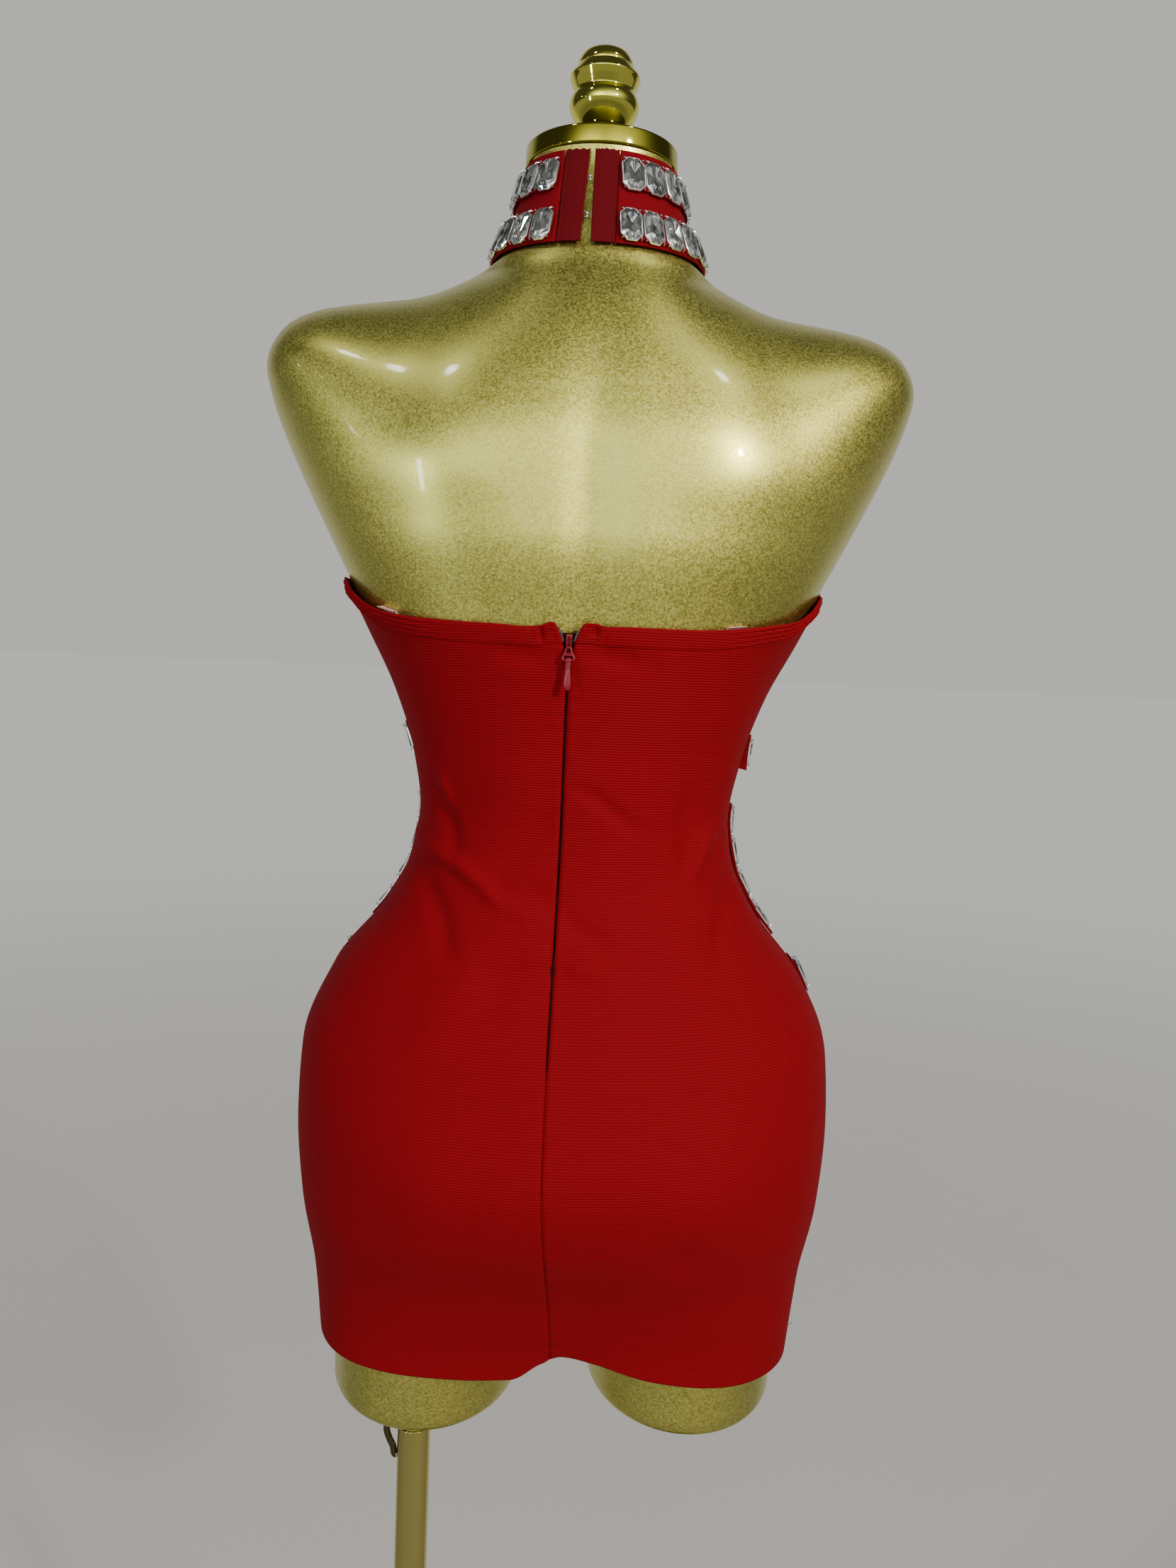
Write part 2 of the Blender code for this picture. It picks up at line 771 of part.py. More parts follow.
# ---------------------------------------------------------------- stones
def stoneStrip(name, count, pitch, width, stoneAlong, stoneAcross, place):
    """A backing strip with raised octagon stones, laid by place(along, across, out).

    place keeps the three directions right-handed, so that the faces still point outwards.
    """
    bm = bmesh.new()
    bmesh.ops.create_grid(bm, x_segments=count, y_segments=1, size=0.5)
    for vert in bm.verts:
        vert.co.x *= count * pitch
        vert.co.y *= width
    made = bmesh.ops.extrude_face_region(bm, geom=bm.faces[:])
    topFaces = [item for item in made["geom"] if isinstance(item, bmesh.types.BMFace)]
    for vert in {vert for face in topFaces for vert in face.verts}:
        vert.co.z += stoneBacking
    margin = min(pitch - stoneAlong, width - stoneAcross) * 0.5
    bmesh.ops.inset_individual(bm, faces=topFaces, thickness=margin, use_even_offset=True)
    corners = list({vert for face in topFaces for vert in face.verts})
    centres = [face.calc_center_median() for face in topFaces]
    bmesh.ops.bevel(bm, geom=corners, offset=stoneCorner, segments=1, profile=0.5, affect="VERTICES")
    octagons = [nearestFace(bm, centre) for centre in centres]
    bmesh.ops.inset_individual(
        bm, faces=octagons, thickness=stoneCrownInset, depth=stoneHeight, use_even_offset=True
    )
    bmesh.ops.recalc_face_normals(bm, faces=bm.faces)
    for vert in bm.verts:
        vert.co = place(vert.co.x, vert.co.y, vert.co.z)
    mesh = bpy.data.meshes.new(name)
    bm.to_mesh(mesh)
    bm.free()
    return smooth(addObject(name, mesh, crystal()), 15.0)


def nearestFace(bm, centre):
    return min(bm.faces, key=lambda face: (face.calc_center_median() - centre).length)


def buildCollarStones():
    out = clothGap + clothThickness + seamGap + stoneRowLift
    margin = collarEndWidth + stoneRowMargin
    for row in collarStoneRows:
        start = slitEdge(row.height, 1, margin)
        end = 2.0 * math.pi + slitEdge(row.height, -1, margin)
        shares = [index / stoneRowSamples for index in range(stoneRowSamples + 1)]
        points = [bodyPoint(row.height, start + (end - start) * share, out) for share in shares]
        length = sum((b - a).length for a, b in zip(points, points[1:]))
        pitch = length / row.count

        def place(along, across, height, row=row, start=start, end=end, length=length):
            angle = end - (end - start) * (along / length + 0.5)
            return bodyPoint(row.height + across, angle, out + height)

        stoneStrip(row.name, row.count, pitch, stoneLength + stoneGap, pitch - stoneGap, stoneLength, place)


def buildSideTrims():
    wallOut = clothGap + clothThickness + seamGap
    margin = trimPitch - stoneLength
    for side, sideName in ((1, "left"), (-1, "right")):
        middleAngle = side * trimAngle + twist
        for trim in sideTrims:
            half = 0.5 * trimPitch
            lowerFlare = trim.rightFlare if side < 0 else 0.0
            upper = onSurface(trim.middle + half, middleAngle, True)
            lower = onSurface(trim.middle - half, middleAngle, True)
            slope = (upper - lower).length / trimPitch
            halfRun = half * trim.count

            def place(along, across, height, trim=trim, turn=middleAngle, slope=slope, run=halfRun, flare=lowerFlare):
                level = trim.middle + along / slope
                angle = turn + across / surfaceRadius(level, turn, True)
                standOff = flare * 0.5 * (1.0 - along / run)
                return bodyPoint(level, angle, wallOut + trim.lift + standOff + height)

            name = f"side_trim_{sideName}_{trim.name}"
            stoneStrip(name, trim.count, trimPitch, stoneWidth + margin, stoneLength, stoneWidth, place)


# ---------------------------------------------------------------- zip
def buildZipTape():
    def bottom(angle):
        return zipBottom

    def top(angle):
        return backTop(angle) - tapeSetBack

    def edge(side):
        def angleAt(height):
            offset = between(backSeamOffsets, height)[0]
            return angleAcross(height, offset + side * tapeWidth * 0.5)

        return angleAt

    out = clothGap - 2.0 * seamGap - tapeThickness
    clothPanel("zip_tape", 3, 18, bottom, top, edge(-1), edge(1), out, tapeThickness, redKnit())


def sliderFrame():
    """Directions across, out of and along the back at the slider's foot, and that foot."""
    offset = between(backSeamOffsets, sliderBottom)[0]
    foot = bodyPoint(sliderBottom, angleAcross(sliderBottom, offset), clothGap)
    topLevel = sliderBottom + sliderHeight
    top = bodyPoint(topLevel, angleAcross(topLevel, offset), clothGap)
    along = (top - foot).normalized()
    across = Vector((1.0, 0.0, 0.0))
    out = along.cross(across).normalized()
    return across, out, along, foot


def roundedBox(name, size, centre, bevel, look):
    bm = bmesh.new()
    bmesh.ops.create_cube(bm, size=1.0)
    for vert in bm.verts:
        vert.co = Vector((vert.co.x * size[0], vert.co.y * size[1], vert.co.z * size[2])) + Vector(centre)
    bmesh.ops.bevel(bm, geom=bm.edges[:], offset=bevel, segments=1, profile=0.5, affect="EDGES")
    return addObject(name, meshFrom(name, bm), look)


def buildSlider():
    """A small rounded body that lies on the tapes, with a bail near its lower end."""
    across, out, along, foot = sliderFrame()
    size = (sliderWidth, sliderDepth, sliderHeight)
    centre = (0.0, 0.5 * sliderDepth + 0.0001, 0.5 * sliderHeight)
    body = roundedBox("zip_slider", size, centre, 0.0004, roseEnamel())
    for vert in body.data.vertices:
        vert.co = foot + across * vert.co.x + out * vert.co.y + along * vert.co.z
    steps = 6
    path = []
    for index in range(steps + 1):
        turn = math.pi * index / steps
        level = bailHeight - 0.55 * bailReach * math.cos(turn)
        reach = sliderDepth - 0.0003 + (bailReach + 0.0003) * math.sin(turn)
        path.append(foot + out * reach + along * level)
    bail = wireMesh("bail", path, bailWire, roseEnamel())
    return smooth(boolean(body, bail, "UNION"), 30.0)


def ringPivot():
    """The point inside the bail that the ring turns about."""
    _, out, along, foot = sliderFrame()
    return foot + out * (sliderDepth + 0.5 * (bailReach - bailWire)) + along * bailHeight


def dropPivot():
    return ringPivot() + Vector((0.0, 0.0, -ringHeight))


def buildPull():
    """A triangular ring on the slider's bail, with a long drop on its lower bar."""
    top = ringPivot()
    outline = [
        (-ringTopHalfWidth, 0.0),
        (ringTopHalfWidth, 0.0),
        (ringHalfWidth, -ringHeight + ringCorner),
        (ringHalfWidth - ringCorner, -ringHeight),
        (-ringHalfWidth + ringCorner, -ringHeight),
        (-ringHalfWidth, -ringHeight + ringCorner),
    ]
    path = [(top.x + x, top.y, top.z + z) for x, z in outline]
    ring = wireMesh("pull_ring", path, ringWire, roseEnamel(), cyclic=True)
    level = top.z - ringBarShare * ringHeight
    reach = ringTopHalfWidth + (ringHalfWidth - ringTopHalfWidth) * ringBarShare
    bar = [(top.x - reach, top.y, level), (top.x + reach, top.y, level)]
    smooth(boolean(ring, wireMesh("ring_bar", bar, ringBarWire, roseEnamel()), "UNION"), 50.0)

    pivot = dropPivot()
    bpy.ops.mesh.primitive_cylinder_add(
        vertices=16,
        radius=dropEyeRadius,
        depth=dropEyeLength,
        location=pivot,
        rotation=(0.0, 0.5 * math.pi, 0.0),
    )
    eye = bpy.context.active_object
    bpy.ops.mesh.primitive_cylinder_add(
        vertices=16,
        radius=dropEyeBore,
        depth=2.0 * dropEyeLength,
        location=pivot,
        rotation=(0.0, 0.5 * math.pi, 0.0),
    )
    bore = bpy.context.active_object
    half = 0.5 * dropWidth
    bladeTop = pivot.z - 0.5 * (dropEyeRadius + dropEyeBore)
    bladeLength = pivot.z - dropLength - bladeTop
    rings = []
    for depth, inset in dropLayers:
        ring = []
        for across, share in dropOutline:
            x = pivot.x + across * half * inset
            ring.append(Vector((x, pivot.y + depth * dropThickness, bladeTop + bladeLength * share)))
        rings.append(ring)
    drop = buildLoft("pull_drop", rings, roseEnamel())
    boolean(drop, eye, "UNION")
    boolean(drop, bore, "DIFFERENCE")
    smooth(drop, 40.0)


# ---------------------------------------------------------------- fastenings and tapes
def buildFastenings():
    """Hook on the right end, eye on the left end, fastened across the collar opening."""
    for fastening in fastenings:
        height = fastening.height
        middleOut = clothGap + 0.5 * clothThickness
        leftAngle, rightAngle = slitEdge(height, 1), slitEdge(height, -1)
        left = bodyPoint(height, leftAngle, middleOut)
        right = bodyPoint(height, rightAngle, middleOut)
        seat = seamGap + fasteningWire
        barX = 0.5 * (left.x + right.x) + 0.0002
        y = 0.5 * (left.y + right.y)
        z = left.z
        eye = [
            (left.x - seat, y, z + eyeRise),
            (barX + 0.0002, y, z + eyeRise),
            (barX, y, z + eyeRise - 0.0002),
            (barX, y, z - eyeRise + 0.0002),
            (barX + 0.0002, y, z - eyeRise),
            (left.x - seat, y, z - eyeRise),
        ]
        smooth(wireMesh(f"eye_{fastening.name}", eye, fasteningWire, silver()))
        over = 2.0 * fasteningWire + seamGap
        hook = [
            (right.x + seat, y + over, z),
            (barX + 0.0004, y + over, z),
            (barX + over, y, z),
            (barX + 0.0004, y - over, z),
            (barX - 0.0004, y - over, z),
        ]
        smooth(wireMesh(f"hook_{fastening.name}", hook, fasteningWire, silver()))


def buildHangerTapes():
    look = material("clear elastic", (0.62, 0.36, 0.30), 0.35)
    for name, degrees in hangerTapeAngles.items():
        angle = math.radians(degrees)
        level = backTop(angle)
        radius = surfaceRadius(level, angle, True)
        half = 0.5 * hangerTapeWidth / radius

        def bottom(angle, level=level):
            return level - hangerTapeHidden

        def top(angle, level=level):
            return level + hangerTapeRise

        def start(height, angle=angle, half=half):
            return angle - half

        def end(height, angle=angle, half=half):
            return angle + half

        clothPanel(f"hanger_tape_{name}", 2, 5, bottom, top, start, end, seamGap, tapeThickness, look)


# ---------------------------------------------------------------- build
clearScene()
collection = newCollection("bodycon dress on a dress form")
buildFormBody()
buildNeckCapAndFinial()
buildStand()
buildClampScrew()
buildFront()
buildBacks()
buildCollar()
buildCollarStones()
buildSideTrims()
buildZipTape()
buildSlider()
buildPull()
buildFastenings()
buildHangerTapes()
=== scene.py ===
import math

import bmesh
import bpy
import numpy as np
from mathutils import Matrix, Vector


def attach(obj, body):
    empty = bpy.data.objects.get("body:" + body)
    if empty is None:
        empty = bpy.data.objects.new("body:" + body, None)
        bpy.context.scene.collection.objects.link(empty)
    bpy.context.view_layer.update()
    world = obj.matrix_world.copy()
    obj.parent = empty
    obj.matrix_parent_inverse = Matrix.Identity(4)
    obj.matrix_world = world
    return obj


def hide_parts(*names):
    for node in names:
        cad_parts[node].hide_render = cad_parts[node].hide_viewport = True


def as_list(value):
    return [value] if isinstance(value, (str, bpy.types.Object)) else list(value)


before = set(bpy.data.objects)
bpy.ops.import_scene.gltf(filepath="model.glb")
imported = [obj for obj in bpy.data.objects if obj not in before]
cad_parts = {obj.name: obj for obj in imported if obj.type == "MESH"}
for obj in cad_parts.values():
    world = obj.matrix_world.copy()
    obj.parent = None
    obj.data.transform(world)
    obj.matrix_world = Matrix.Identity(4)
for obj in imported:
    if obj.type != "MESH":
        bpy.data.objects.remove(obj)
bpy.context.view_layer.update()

fineness = 1.0  # coarser cloth while looking quickly
print("frame loaded")

# The camera stands behind the shoulder blades, turned and tipped a little
cameraSetup = {
    "imageHeight": 2212,
    "focalPixels": 1661.0,
    "distance": 0.736,
    "azimuth": 1.8,
    "height": 1.195,
    "pitch": 6.4,
    "yaw": 0.56,
    "roll": 2.43,
}


def addCamera(setup):
    azimuth, pitch, roll = (math.radians(setup[key]) for key in ("azimuth", "pitch", "roll"))
    heading = azimuth + math.radians(setup["yaw"])
    reach = setup["distance"]
    place = Vector((reach * math.sin(azimuth), reach * math.cos(azimuth), setup["height"]))
    level = math.cos(pitch)
    ahead = Vector((-math.sin(heading) * level, -math.cos(heading) * level, -math.sin(pitch)))
    right = ahead.cross(Vector((0.0, 0.0, 1.0))).normalized()
    up = right.cross(ahead)
    turnedRight = right * math.cos(roll) + up * math.sin(roll)
    turnedUp = up * math.cos(roll) - right * math.sin(roll)
    data = bpy.data.cameras.new("camera")
    data.sensor_width = 36.0
    data.lens = setup["focalPixels"] * data.sensor_width / setup["imageHeight"]
    data.clip_start = 0.05
    camera = bpy.data.objects.new("camera", data)
    turn = Matrix((turnedRight, turnedUp, -ahead)).transposed()
    camera.matrix_world = Matrix.Translation(place) @ turn.to_4x4()
    bpy.context.scene.collection.objects.link(camera)
    bpy.context.scene.camera = camera


addCamera(cameraSetup)
print("camera placed")


def colour(hexText):
    parts = [int(hexText[i:i + 2], 16) / 255.0 for i in (1, 3, 5)]
    linear = [part / 12.92 if part <= 0.04045 else ((part + 0.055) / 1.055) ** 2.4 for part in parts]
    return (*linear, 1.0)


def addNode(tree, kind, settings=None):
    # a setting that is another node's socket is linked, any other is a value
    node = tree.nodes.new(kind)
    for key, value in (settings or {}).items():
        if isinstance(value, bpy.types.NodeSocket):
            tree.links.new(value, node.inputs[key])
        elif isinstance(key, int) or key in node.inputs:
            node.inputs[key].default_value = value
        else:
            setattr(node, key, value)
    return node


# A Mix node of colours takes its share at 0 and the colours at 6 and 7, and gives the mix at 2

def newMaterial(name, settings):
    made = bpy.data.materials.new(name)
    made.use_nodes = True
    tree = made.node_tree
    shader = tree.nodes["Principled BSDF"]
    for key, value in settings.items():
        shader.inputs[key].default_value = value
    place = addNode(tree, "ShaderNodeTexCoord").outputs["Object"]
    return made, tree, shader, place


# Bandage knit: dense elastic courses that lie level round the body. To the eye: fine level
# ribs, a dry surface and a slight bloom of loose fibre.
knit = {
    "ribPitch": 0.00150,  # real courses read as about 1.1 to 1.4 mm; drawn a little coarser to show
    "stitchPitch": 0.0011,
    "ribDepth": 0.00034,
    "deep": "#640310",
    "face": "#8E0616",
    "wander": 0.0010,
}
collarCloth = {**knit, "ribPitch": 0.0011, "deep": "#620311", "face": "#840616"}
tabCloth = {**knit, "ribPitch": 0.0011, "deep": "#4E030E", "face": "#6C0613"}
# painted shade: the zip tape's colours are darkened nearly to black so that the slit over it reads as a shadowed
# line
tapeClothPaintedShade = {**knit, "ribPitch": 0.0009, "deep": "#1C0203", "face": "#300306"}


def knitMaterial(name, spec, ribbed=1.0):
    made, tree, shader, place = newMaterial(name, {
        "Roughness": 0.85,
        "Specular IOR Level": 0.12,
        "Sheen Weight": 0.02,
        "Sheen Roughness": 0.45,
        "Sheen Tint": colour("#FF6A5C"),
    })
    uv = addNode(tree, "ShaderNodeUVMap", {"uv_map": "cloth"}).outputs[0]
    across, up, _ = addNode(tree, "ShaderNodeSeparateXYZ", {0: uv}).outputs
    soft = addNode(tree, "ShaderNodeTexNoise", {"Scale": 14.0, "Detail": 2.0, "Vector": place}).outputs["Fac"]
    fine = {"Scale": 1400.0, "Detail": 3.0, "Vector": place}
    fibre = addNode(tree, "ShaderNodeTexNoise", fine).outputs["Fac"]
    aside = addNode(tree, "ShaderNodeMath", {"operation": "SUBTRACT", 0: soft, 1: 0.5}).outputs[0]
    level = addNode(tree, "ShaderNodeMath", {"operation": "MULTIPLY_ADD", 0: aside, 1: spec["wander"], 2: up})
    turns = [
        addNode(tree, "ShaderNodeMath", {"operation": "MULTIPLY", 0: source, 1: 2.0 * math.pi / spec[pitch]})
        for source, pitch in ((level.outputs[0], "ribPitch"), (across, "stitchPitch"))
    ]
    wave, row = (
        addNode(tree, "ShaderNodeMath", {"operation": "SINE", 0: turn.outputs[0]}).outputs[0] for turn in turns
    )
    rib = addNode(tree, "ShaderNodeMath", {"operation": "MULTIPLY_ADD", 0: wave, 1: 0.5, 2: 0.5}).outputs[0]
    tone = addNode(tree, "ShaderNodeMath", {"operation": "MULTIPLY_ADD", 0: rib, 1: 0.52 * ribbed, 2: 0.38})
    bloom = addNode(tree, "ShaderNodeMath", {"operation": "SUBTRACT", 0: fibre, 1: 0.5}).outputs[0]
    grain = addNode(tree, "ShaderNodeMath", {"operation": "MULTIPLY_ADD", 0: bloom, 1: 0.5, 2: tone.outputs[0]})
    shades = {"data_type": "RGBA", 0: grain.outputs[0], 6: colour(spec["deep"]), 7: colour(spec["face"])}
    tree.links.new(addNode(tree, "ShaderNodeMix", shades).outputs[2], shader.inputs["Base Color"])
    raised = 0.0
    for source, share in ((fibre, 0.55), (row, 0.10), (rib, ribbed)):
        terms = {"operation": "MULTIPLY_ADD", 0: source, 1: share, 2: raised}
        raised = addNode(tree, "ShaderNodeMath", terms).outputs[0]
    bump = addNode(tree, "ShaderNodeBump", {"Strength": 0.55, "Distance": spec["ribDepth"], "Height": raised})
    tree.links.new(bump.outputs[0], shader.inputs["Normal"])
    return made


# Sprayed metallic paint under clear lacquer on a moulded shell: small bright flakes in
# olive gold, with sharp lamp reflections on top.
def flakePaint():
    made, tree, shader, place = newMaterial("metallic lacquer", {
        "Metallic": 1.0,
        "Coat Weight": 0.38,
        "Coat Roughness": 0.08,
        "Coat IOR": 1.5,
    })
    # a real flake is 0.1 mm; drawn at about 0.8 mm so that it shows
    flakes = addNode(tree, "ShaderNodeTexVoronoi", {"Scale": 1200.0, "Vector": place})
    pick = addNode(tree, "ShaderNodeSeparateColor", {0: flakes.outputs["Color"]}).outputs[0]
    grain = addNode(tree, "ShaderNodeTexNoise", {"Scale": 640.0, "Detail": 3.0, "Vector": place}).outputs["Fac"]
    lit = addNode(tree, "ShaderNodeMath", {"operation": "MULTIPLY", 0: grain, 1: 0.45}).outputs[0]
    lit = addNode(tree, "ShaderNodeMath", {"operation": "MULTIPLY_ADD", 0: pick, 1: 0.50, 2: lit}).outputs[0]
    shades = {"data_type": "RGBA", 0: lit, 6: colour("#A5A136"), 7: colour("#ECE786")}
    tree.links.new(addNode(tree, "ShaderNodeMix", shades).outputs[2], shader.inputs["Base Color"])
    rough = addNode(tree, "ShaderNodeMath", {"operation": "MULTIPLY_ADD", 0: pick, 1: 0.14, 2: 0.34})
    tree.links.new(rough.outputs[0], shader.inputs["Roughness"])
    bump = addNode(tree, "ShaderNodeBump", {"Strength": 0.30, "Distance": 0.0002, "Height": grain})
    tree.links.new(bump.outputs[0], shader.inputs["Normal"])
    return made


def hazyMetal(name, hexText, grit, sharpest, haze):
    # grit is the number of haze patches to a metre, about
    made, tree, shader, place = newMaterial(name, {"Base Color": colour(hexText), "Metallic": 1.0})
    cloud = addNode(tree, "ShaderNodeTexNoise", {"Scale": grit[0], "Detail": grit[1], "Vector": place})
    share = {"operation": "MULTIPLY_ADD", 0: cloud.outputs["Fac"], 1: haze, 2: sharpest}
    tree.links.new(addNode(tree, "ShaderNodeMath", share).outputs[0], shader.inputs["Roughness"])
    return made


# Cut acrylic with a mirrored back: a near mirror, with the greys that each facet throws back painted in as
# patches.
def foiledCrystal():
    made, tree, shader, place = newMaterial("mirror-backed acrylic", {
        "Metallic": 0.92,
        "Roughness": 0.05,
        "Coat Weight": 0.8,
        "Coat Roughness": 0.02,
    })
    # painted reflection: grey to white patches about 3 mm wide stand in for the greys the cut facets throw back
    cut = addNode(tree, "ShaderNodeTexVoronoi", {"Scale": 300.0, "feature": "F1", "Vector": place})
    pick = addNode(tree, "ShaderNodeSeparateColor", {0: cut.outputs["Color"]}).outputs[1]
    shades = {"data_type": "RGBA", 0: pick, 6: colour("#7B858B"), 7: colour("#FFFFFF")}
    tree.links.new(addNode(tree, "ShaderNodeMix", shades).outputs[2], shader.inputs["Base Color"])
    bump = addNode(tree, "ShaderNodeBump", {"Strength": 0.15, "Distance": 0.0006, "Height": pick})
    tree.links.new(bump.outputs[0], shader.inputs["Normal"])
    return made


# Baked enamel on die-cast zinc: smooth, glossy and a pinker red than the cloth.
def roseEnamel():
    made, tree, shader, place = newMaterial("baked enamel", {
        "Base Color": colour("#7E0B20"),
        "Roughness": 0.32,
        "Specular IOR Level": 0.35,
        "Coat Weight": 0.30,
        "Coat Roughness": 0.03,
    })
    peel = addNode(tree, "ShaderNodeTexNoise", {"Scale": 1500.0, "Detail": 1.0, "Vector": place}).outputs["Fac"]
    bump = addNode(tree, "ShaderNodeBump", {"Strength": 0.10, "Distance": 0.0001, "Height": peel})
    tree.links.new(bump.outputs[0], shader.inputs["Normal"])
    return made


def cloudedPlastic(name, settings, scale, deep, face):
    # two close shades that drift into each other
    made, tree, shader, place = newMaterial(name, settings)
    cloud = addNode(tree, "ShaderNodeTexNoise", {"Scale": scale, "Detail": 2.0, "Vector": place}).outputs["Fac"]
    shades = {"data_type": "RGBA", 0: cloud, 6: colour(deep), 7: colour(face)}
    tree.links.new(addNode(tree, "ShaderNodeMix", shades).outputs[2], shader.inputs["Base Color"])
    return made


redKnit = knitMaterial("bandage knit", knit)
collarKnit = knitMaterial("bandage knit, doubled", collarCloth, 0.5)
tabKnit = knitMaterial("bandage knit, fused", tabCloth, 0.12)
# painted shade: the zip tape's knit is darkened so that the slit shows dark
tapeWeavePaintedShade = knitMaterial("woven zip tape, darkened as painted shade", tapeClothPaintedShade, 0.8)
goldPaint = flakePaint()
# Plated and polished steel: mirror bright, with faint polishing haze.
polish = (60.0, 4.0)
gold = hazyMetal("gold plated steel", "#AEA73C", polish, 0.04, 0.06)
# painted light: the finial is a lighter copy of the same plating
finialGoldPaintedLight = hazyMetal("gold plated finial, painted lighter", "#E4DE62", polish, 0.04, 0.06)
# painted light: the tube and rod are a paler copy of the same plating, standing in for the bright streaks they
# reflect
tubeGoldPaintedLight = hazyMetal("gold plated tube, painted lighter", "#D2C97A", polish, 0.04, 0.06)
# Silver and nickel plate, a little dull from handling.
handled = (900.0, 3.0)
silverPlate = hazyMetal("silver plate", "#E2E4E5", handled, 0.28, 0.12)
darkNickel = hazyMetal("black nickel", "#6A6248", handled, 0.16, 0.12)
crystal = foiledCrystal()
enamel = roseEnamel()
# Clear elastic: soft plastic that shows the warm colour behind it, with a satin gloss.
satin = {"Roughness": 0.32, "Specular IOR Level": 0.6, "Transmission Weight": 0.25}
elastic = cloudedPlastic("clear elastic", satin, 260.0, "#D99A8C", "#F3DDD6")
# Drawn nylon: a hard grey-red sheen on the zip's coil.
coilNylon = cloudedPlastic("nylon coil", {"Roughness": 0.35}, 700.0, "#4E3134", "#7E6567")
# Spun polyester: dull and fine.
dull = {"Roughness": 0.6, "Specular IOR Level": 0.3}
thread = cloudedPlastic("polyester thread", dull, 1800.0, "#8E0A10", "#CF2A2A")
print("materials made")


# The figure's surface, from the same numbers as the solids
figure = {
    "floor": 0.720,  # thigh cut faces above the floor
    "shoulderStart": 0.560,
    "shoulderRound": 0.045,
    "shoulderBlend": 24.0,
    "backBlend": 9.0,
    "backSquareness": 2.2,
    "crotch": 0.107,
    "gap": 0.0017,
    "cloth": 0.0014,
    "seam": 0.0003,
    "twist": math.radians(5.0),
}
bodySections = np.array([  # height, half width, back, front, squareness
    (0.000, 0.1448, 0.070, 0.0915, 3.4),
    (0.045, 0.1468, 0.073, 0.0930, 3.4),
    (0.090, 0.1512, 0.084, 0.0955, 3.1),
    (0.140, 0.1601, 0.103, 0.0965, 2.7),
    (0.185, 0.1645, 0.110, 0.094, 2.4),
    (0.230, 0.1620, 0.103, 0.094, 2.3),
    (0.275, 0.1440, 0.087, 0.090, 2.2),
    (0.315, 0.1130, 0.073, 0.084, 2.2),
    (0.345, 0.0978, 0.066, 0.079, 2.2),
    (0.375, 0.0927, 0.064, 0.076, 2.2),
    (0.410, 0.0982, 0.067, 0.078, 2.2),
    (0.450, 0.1115, 0.075, 0.084, 2.2),
    (0.490, 0.1310, 0.084, 0.089, 2.2),
    (0.540, 0.1562, 0.091, 0.090, 2.2),
    (0.590, 0.1808, 0.091, 0.083, 2.3),
    (0.620, 0.1952, 0.087, 0.077, 2.3),
    (0.645, 0.2080, 0.081, 0.070, 2.2),
    (0.670, 0.1900, 0.072, 0.062, 2.1),
    (0.688, 0.1150, 0.062, 0.056, 2.0),
    (0.700, 0.0620, 0.054, 0.054, 2.0),
    (0.715, 0.0545, 0.049, 0.053, 2.0),
    (0.730, 0.0483, 0.043, 0.051, 2.0),
    (0.752, 0.0432, 0.038, 0.049, 2.0),
    (0.765, 0.0440, 0.0385, 0.0495, 2.0),
])
shoulderLine = np.array([  # distance from the middle, height
    (0.0000, 0.9500),
    (0.0500, 0.7300),
    (0.0640, 0.7000),
    (0.0780, 0.6900),
    (0.0910, 0.6835),
    (0.1040, 0.6790),
    (0.1200, 0.6760),
    (0.1400, 0.6738),
    (0.1570, 0.6709),
    (0.1700, 0.6671),
    (0.1815, 0.6610),
    (0.1890, 0.6528),
    (0.1950, 0.6415),
    (0.1990, 0.6250),
    (0.2200, 0.4000),
])
mounds = {  # height, across, facing, spread up, spread across, amount
    "spine": (0.490, 0.000, 1.0, 0.120, 0.016, -0.0050),
    "shoulderBlade": (0.585, 0.075, 1.0, 0.050, 0.036, 0.0060),
    "seat": (0.165, 0.065, 1.0, 0.045, 0.045, 0.0080),
    "chest": (0.482, 0.070, -1.0, 0.060, 0.054, 0.0210),
}
backShoulderLine = np.array([  # the same line without the neck, for the rounding of the back
    (0.0000, 0.7000),
    (0.0300, 0.6990),
    (0.0500, 0.6970),
    (0.0640, 0.6940),
    (0.0780, 0.6890),
    *shoulderLine[4:].tolist(),
])
clothMounds = {
    "smallOfBackEase": (0.395, 0.030, 1.0, 0.050, 0.030, 0.0035),
    "chestEase": (0.485, 0.070, -1.0, 0.080, 0.060, 0.0010),
}
seatHollow = (0.030, 0.000, 1.0, 0.070, 0.034, -0.0040)


def softStep(low, high, value):
    share = np.clip((value - low) / (high - low), 0.0, 1.0)
    return share * share * (3.0 - 2.0 * share)


def tableValue(table, column, position):
    places, values = table[:, 0], table[:, column]
    steps = np.diff(values) / np.diff(places)
    slopes = np.zeros(len(places))
    same = steps[:-1] * steps[1:] > 0.0
    slopes[1:-1][same] = 2.0 * (steps[:-1] * steps[1:])[same] / (steps[:-1] + steps[1:])[same]
    held = np.clip(position, places[0], places[-1])
    index = np.clip(np.searchsorted(places, held, side="right") - 1, 0, len(places) - 2)
    width = places[index + 1] - places[index]
    part = (held - places[index]) / width
    square, cube = part * part, part * part * part
    return (
        (2 * cube - 3 * square + 1) * values[index]
        + (cube - 2 * square + part) * width * slopes[index]
        + (3 * square - 2 * cube) * values[index + 1]
        + (cube - square) * width * slopes[index + 1]
    )


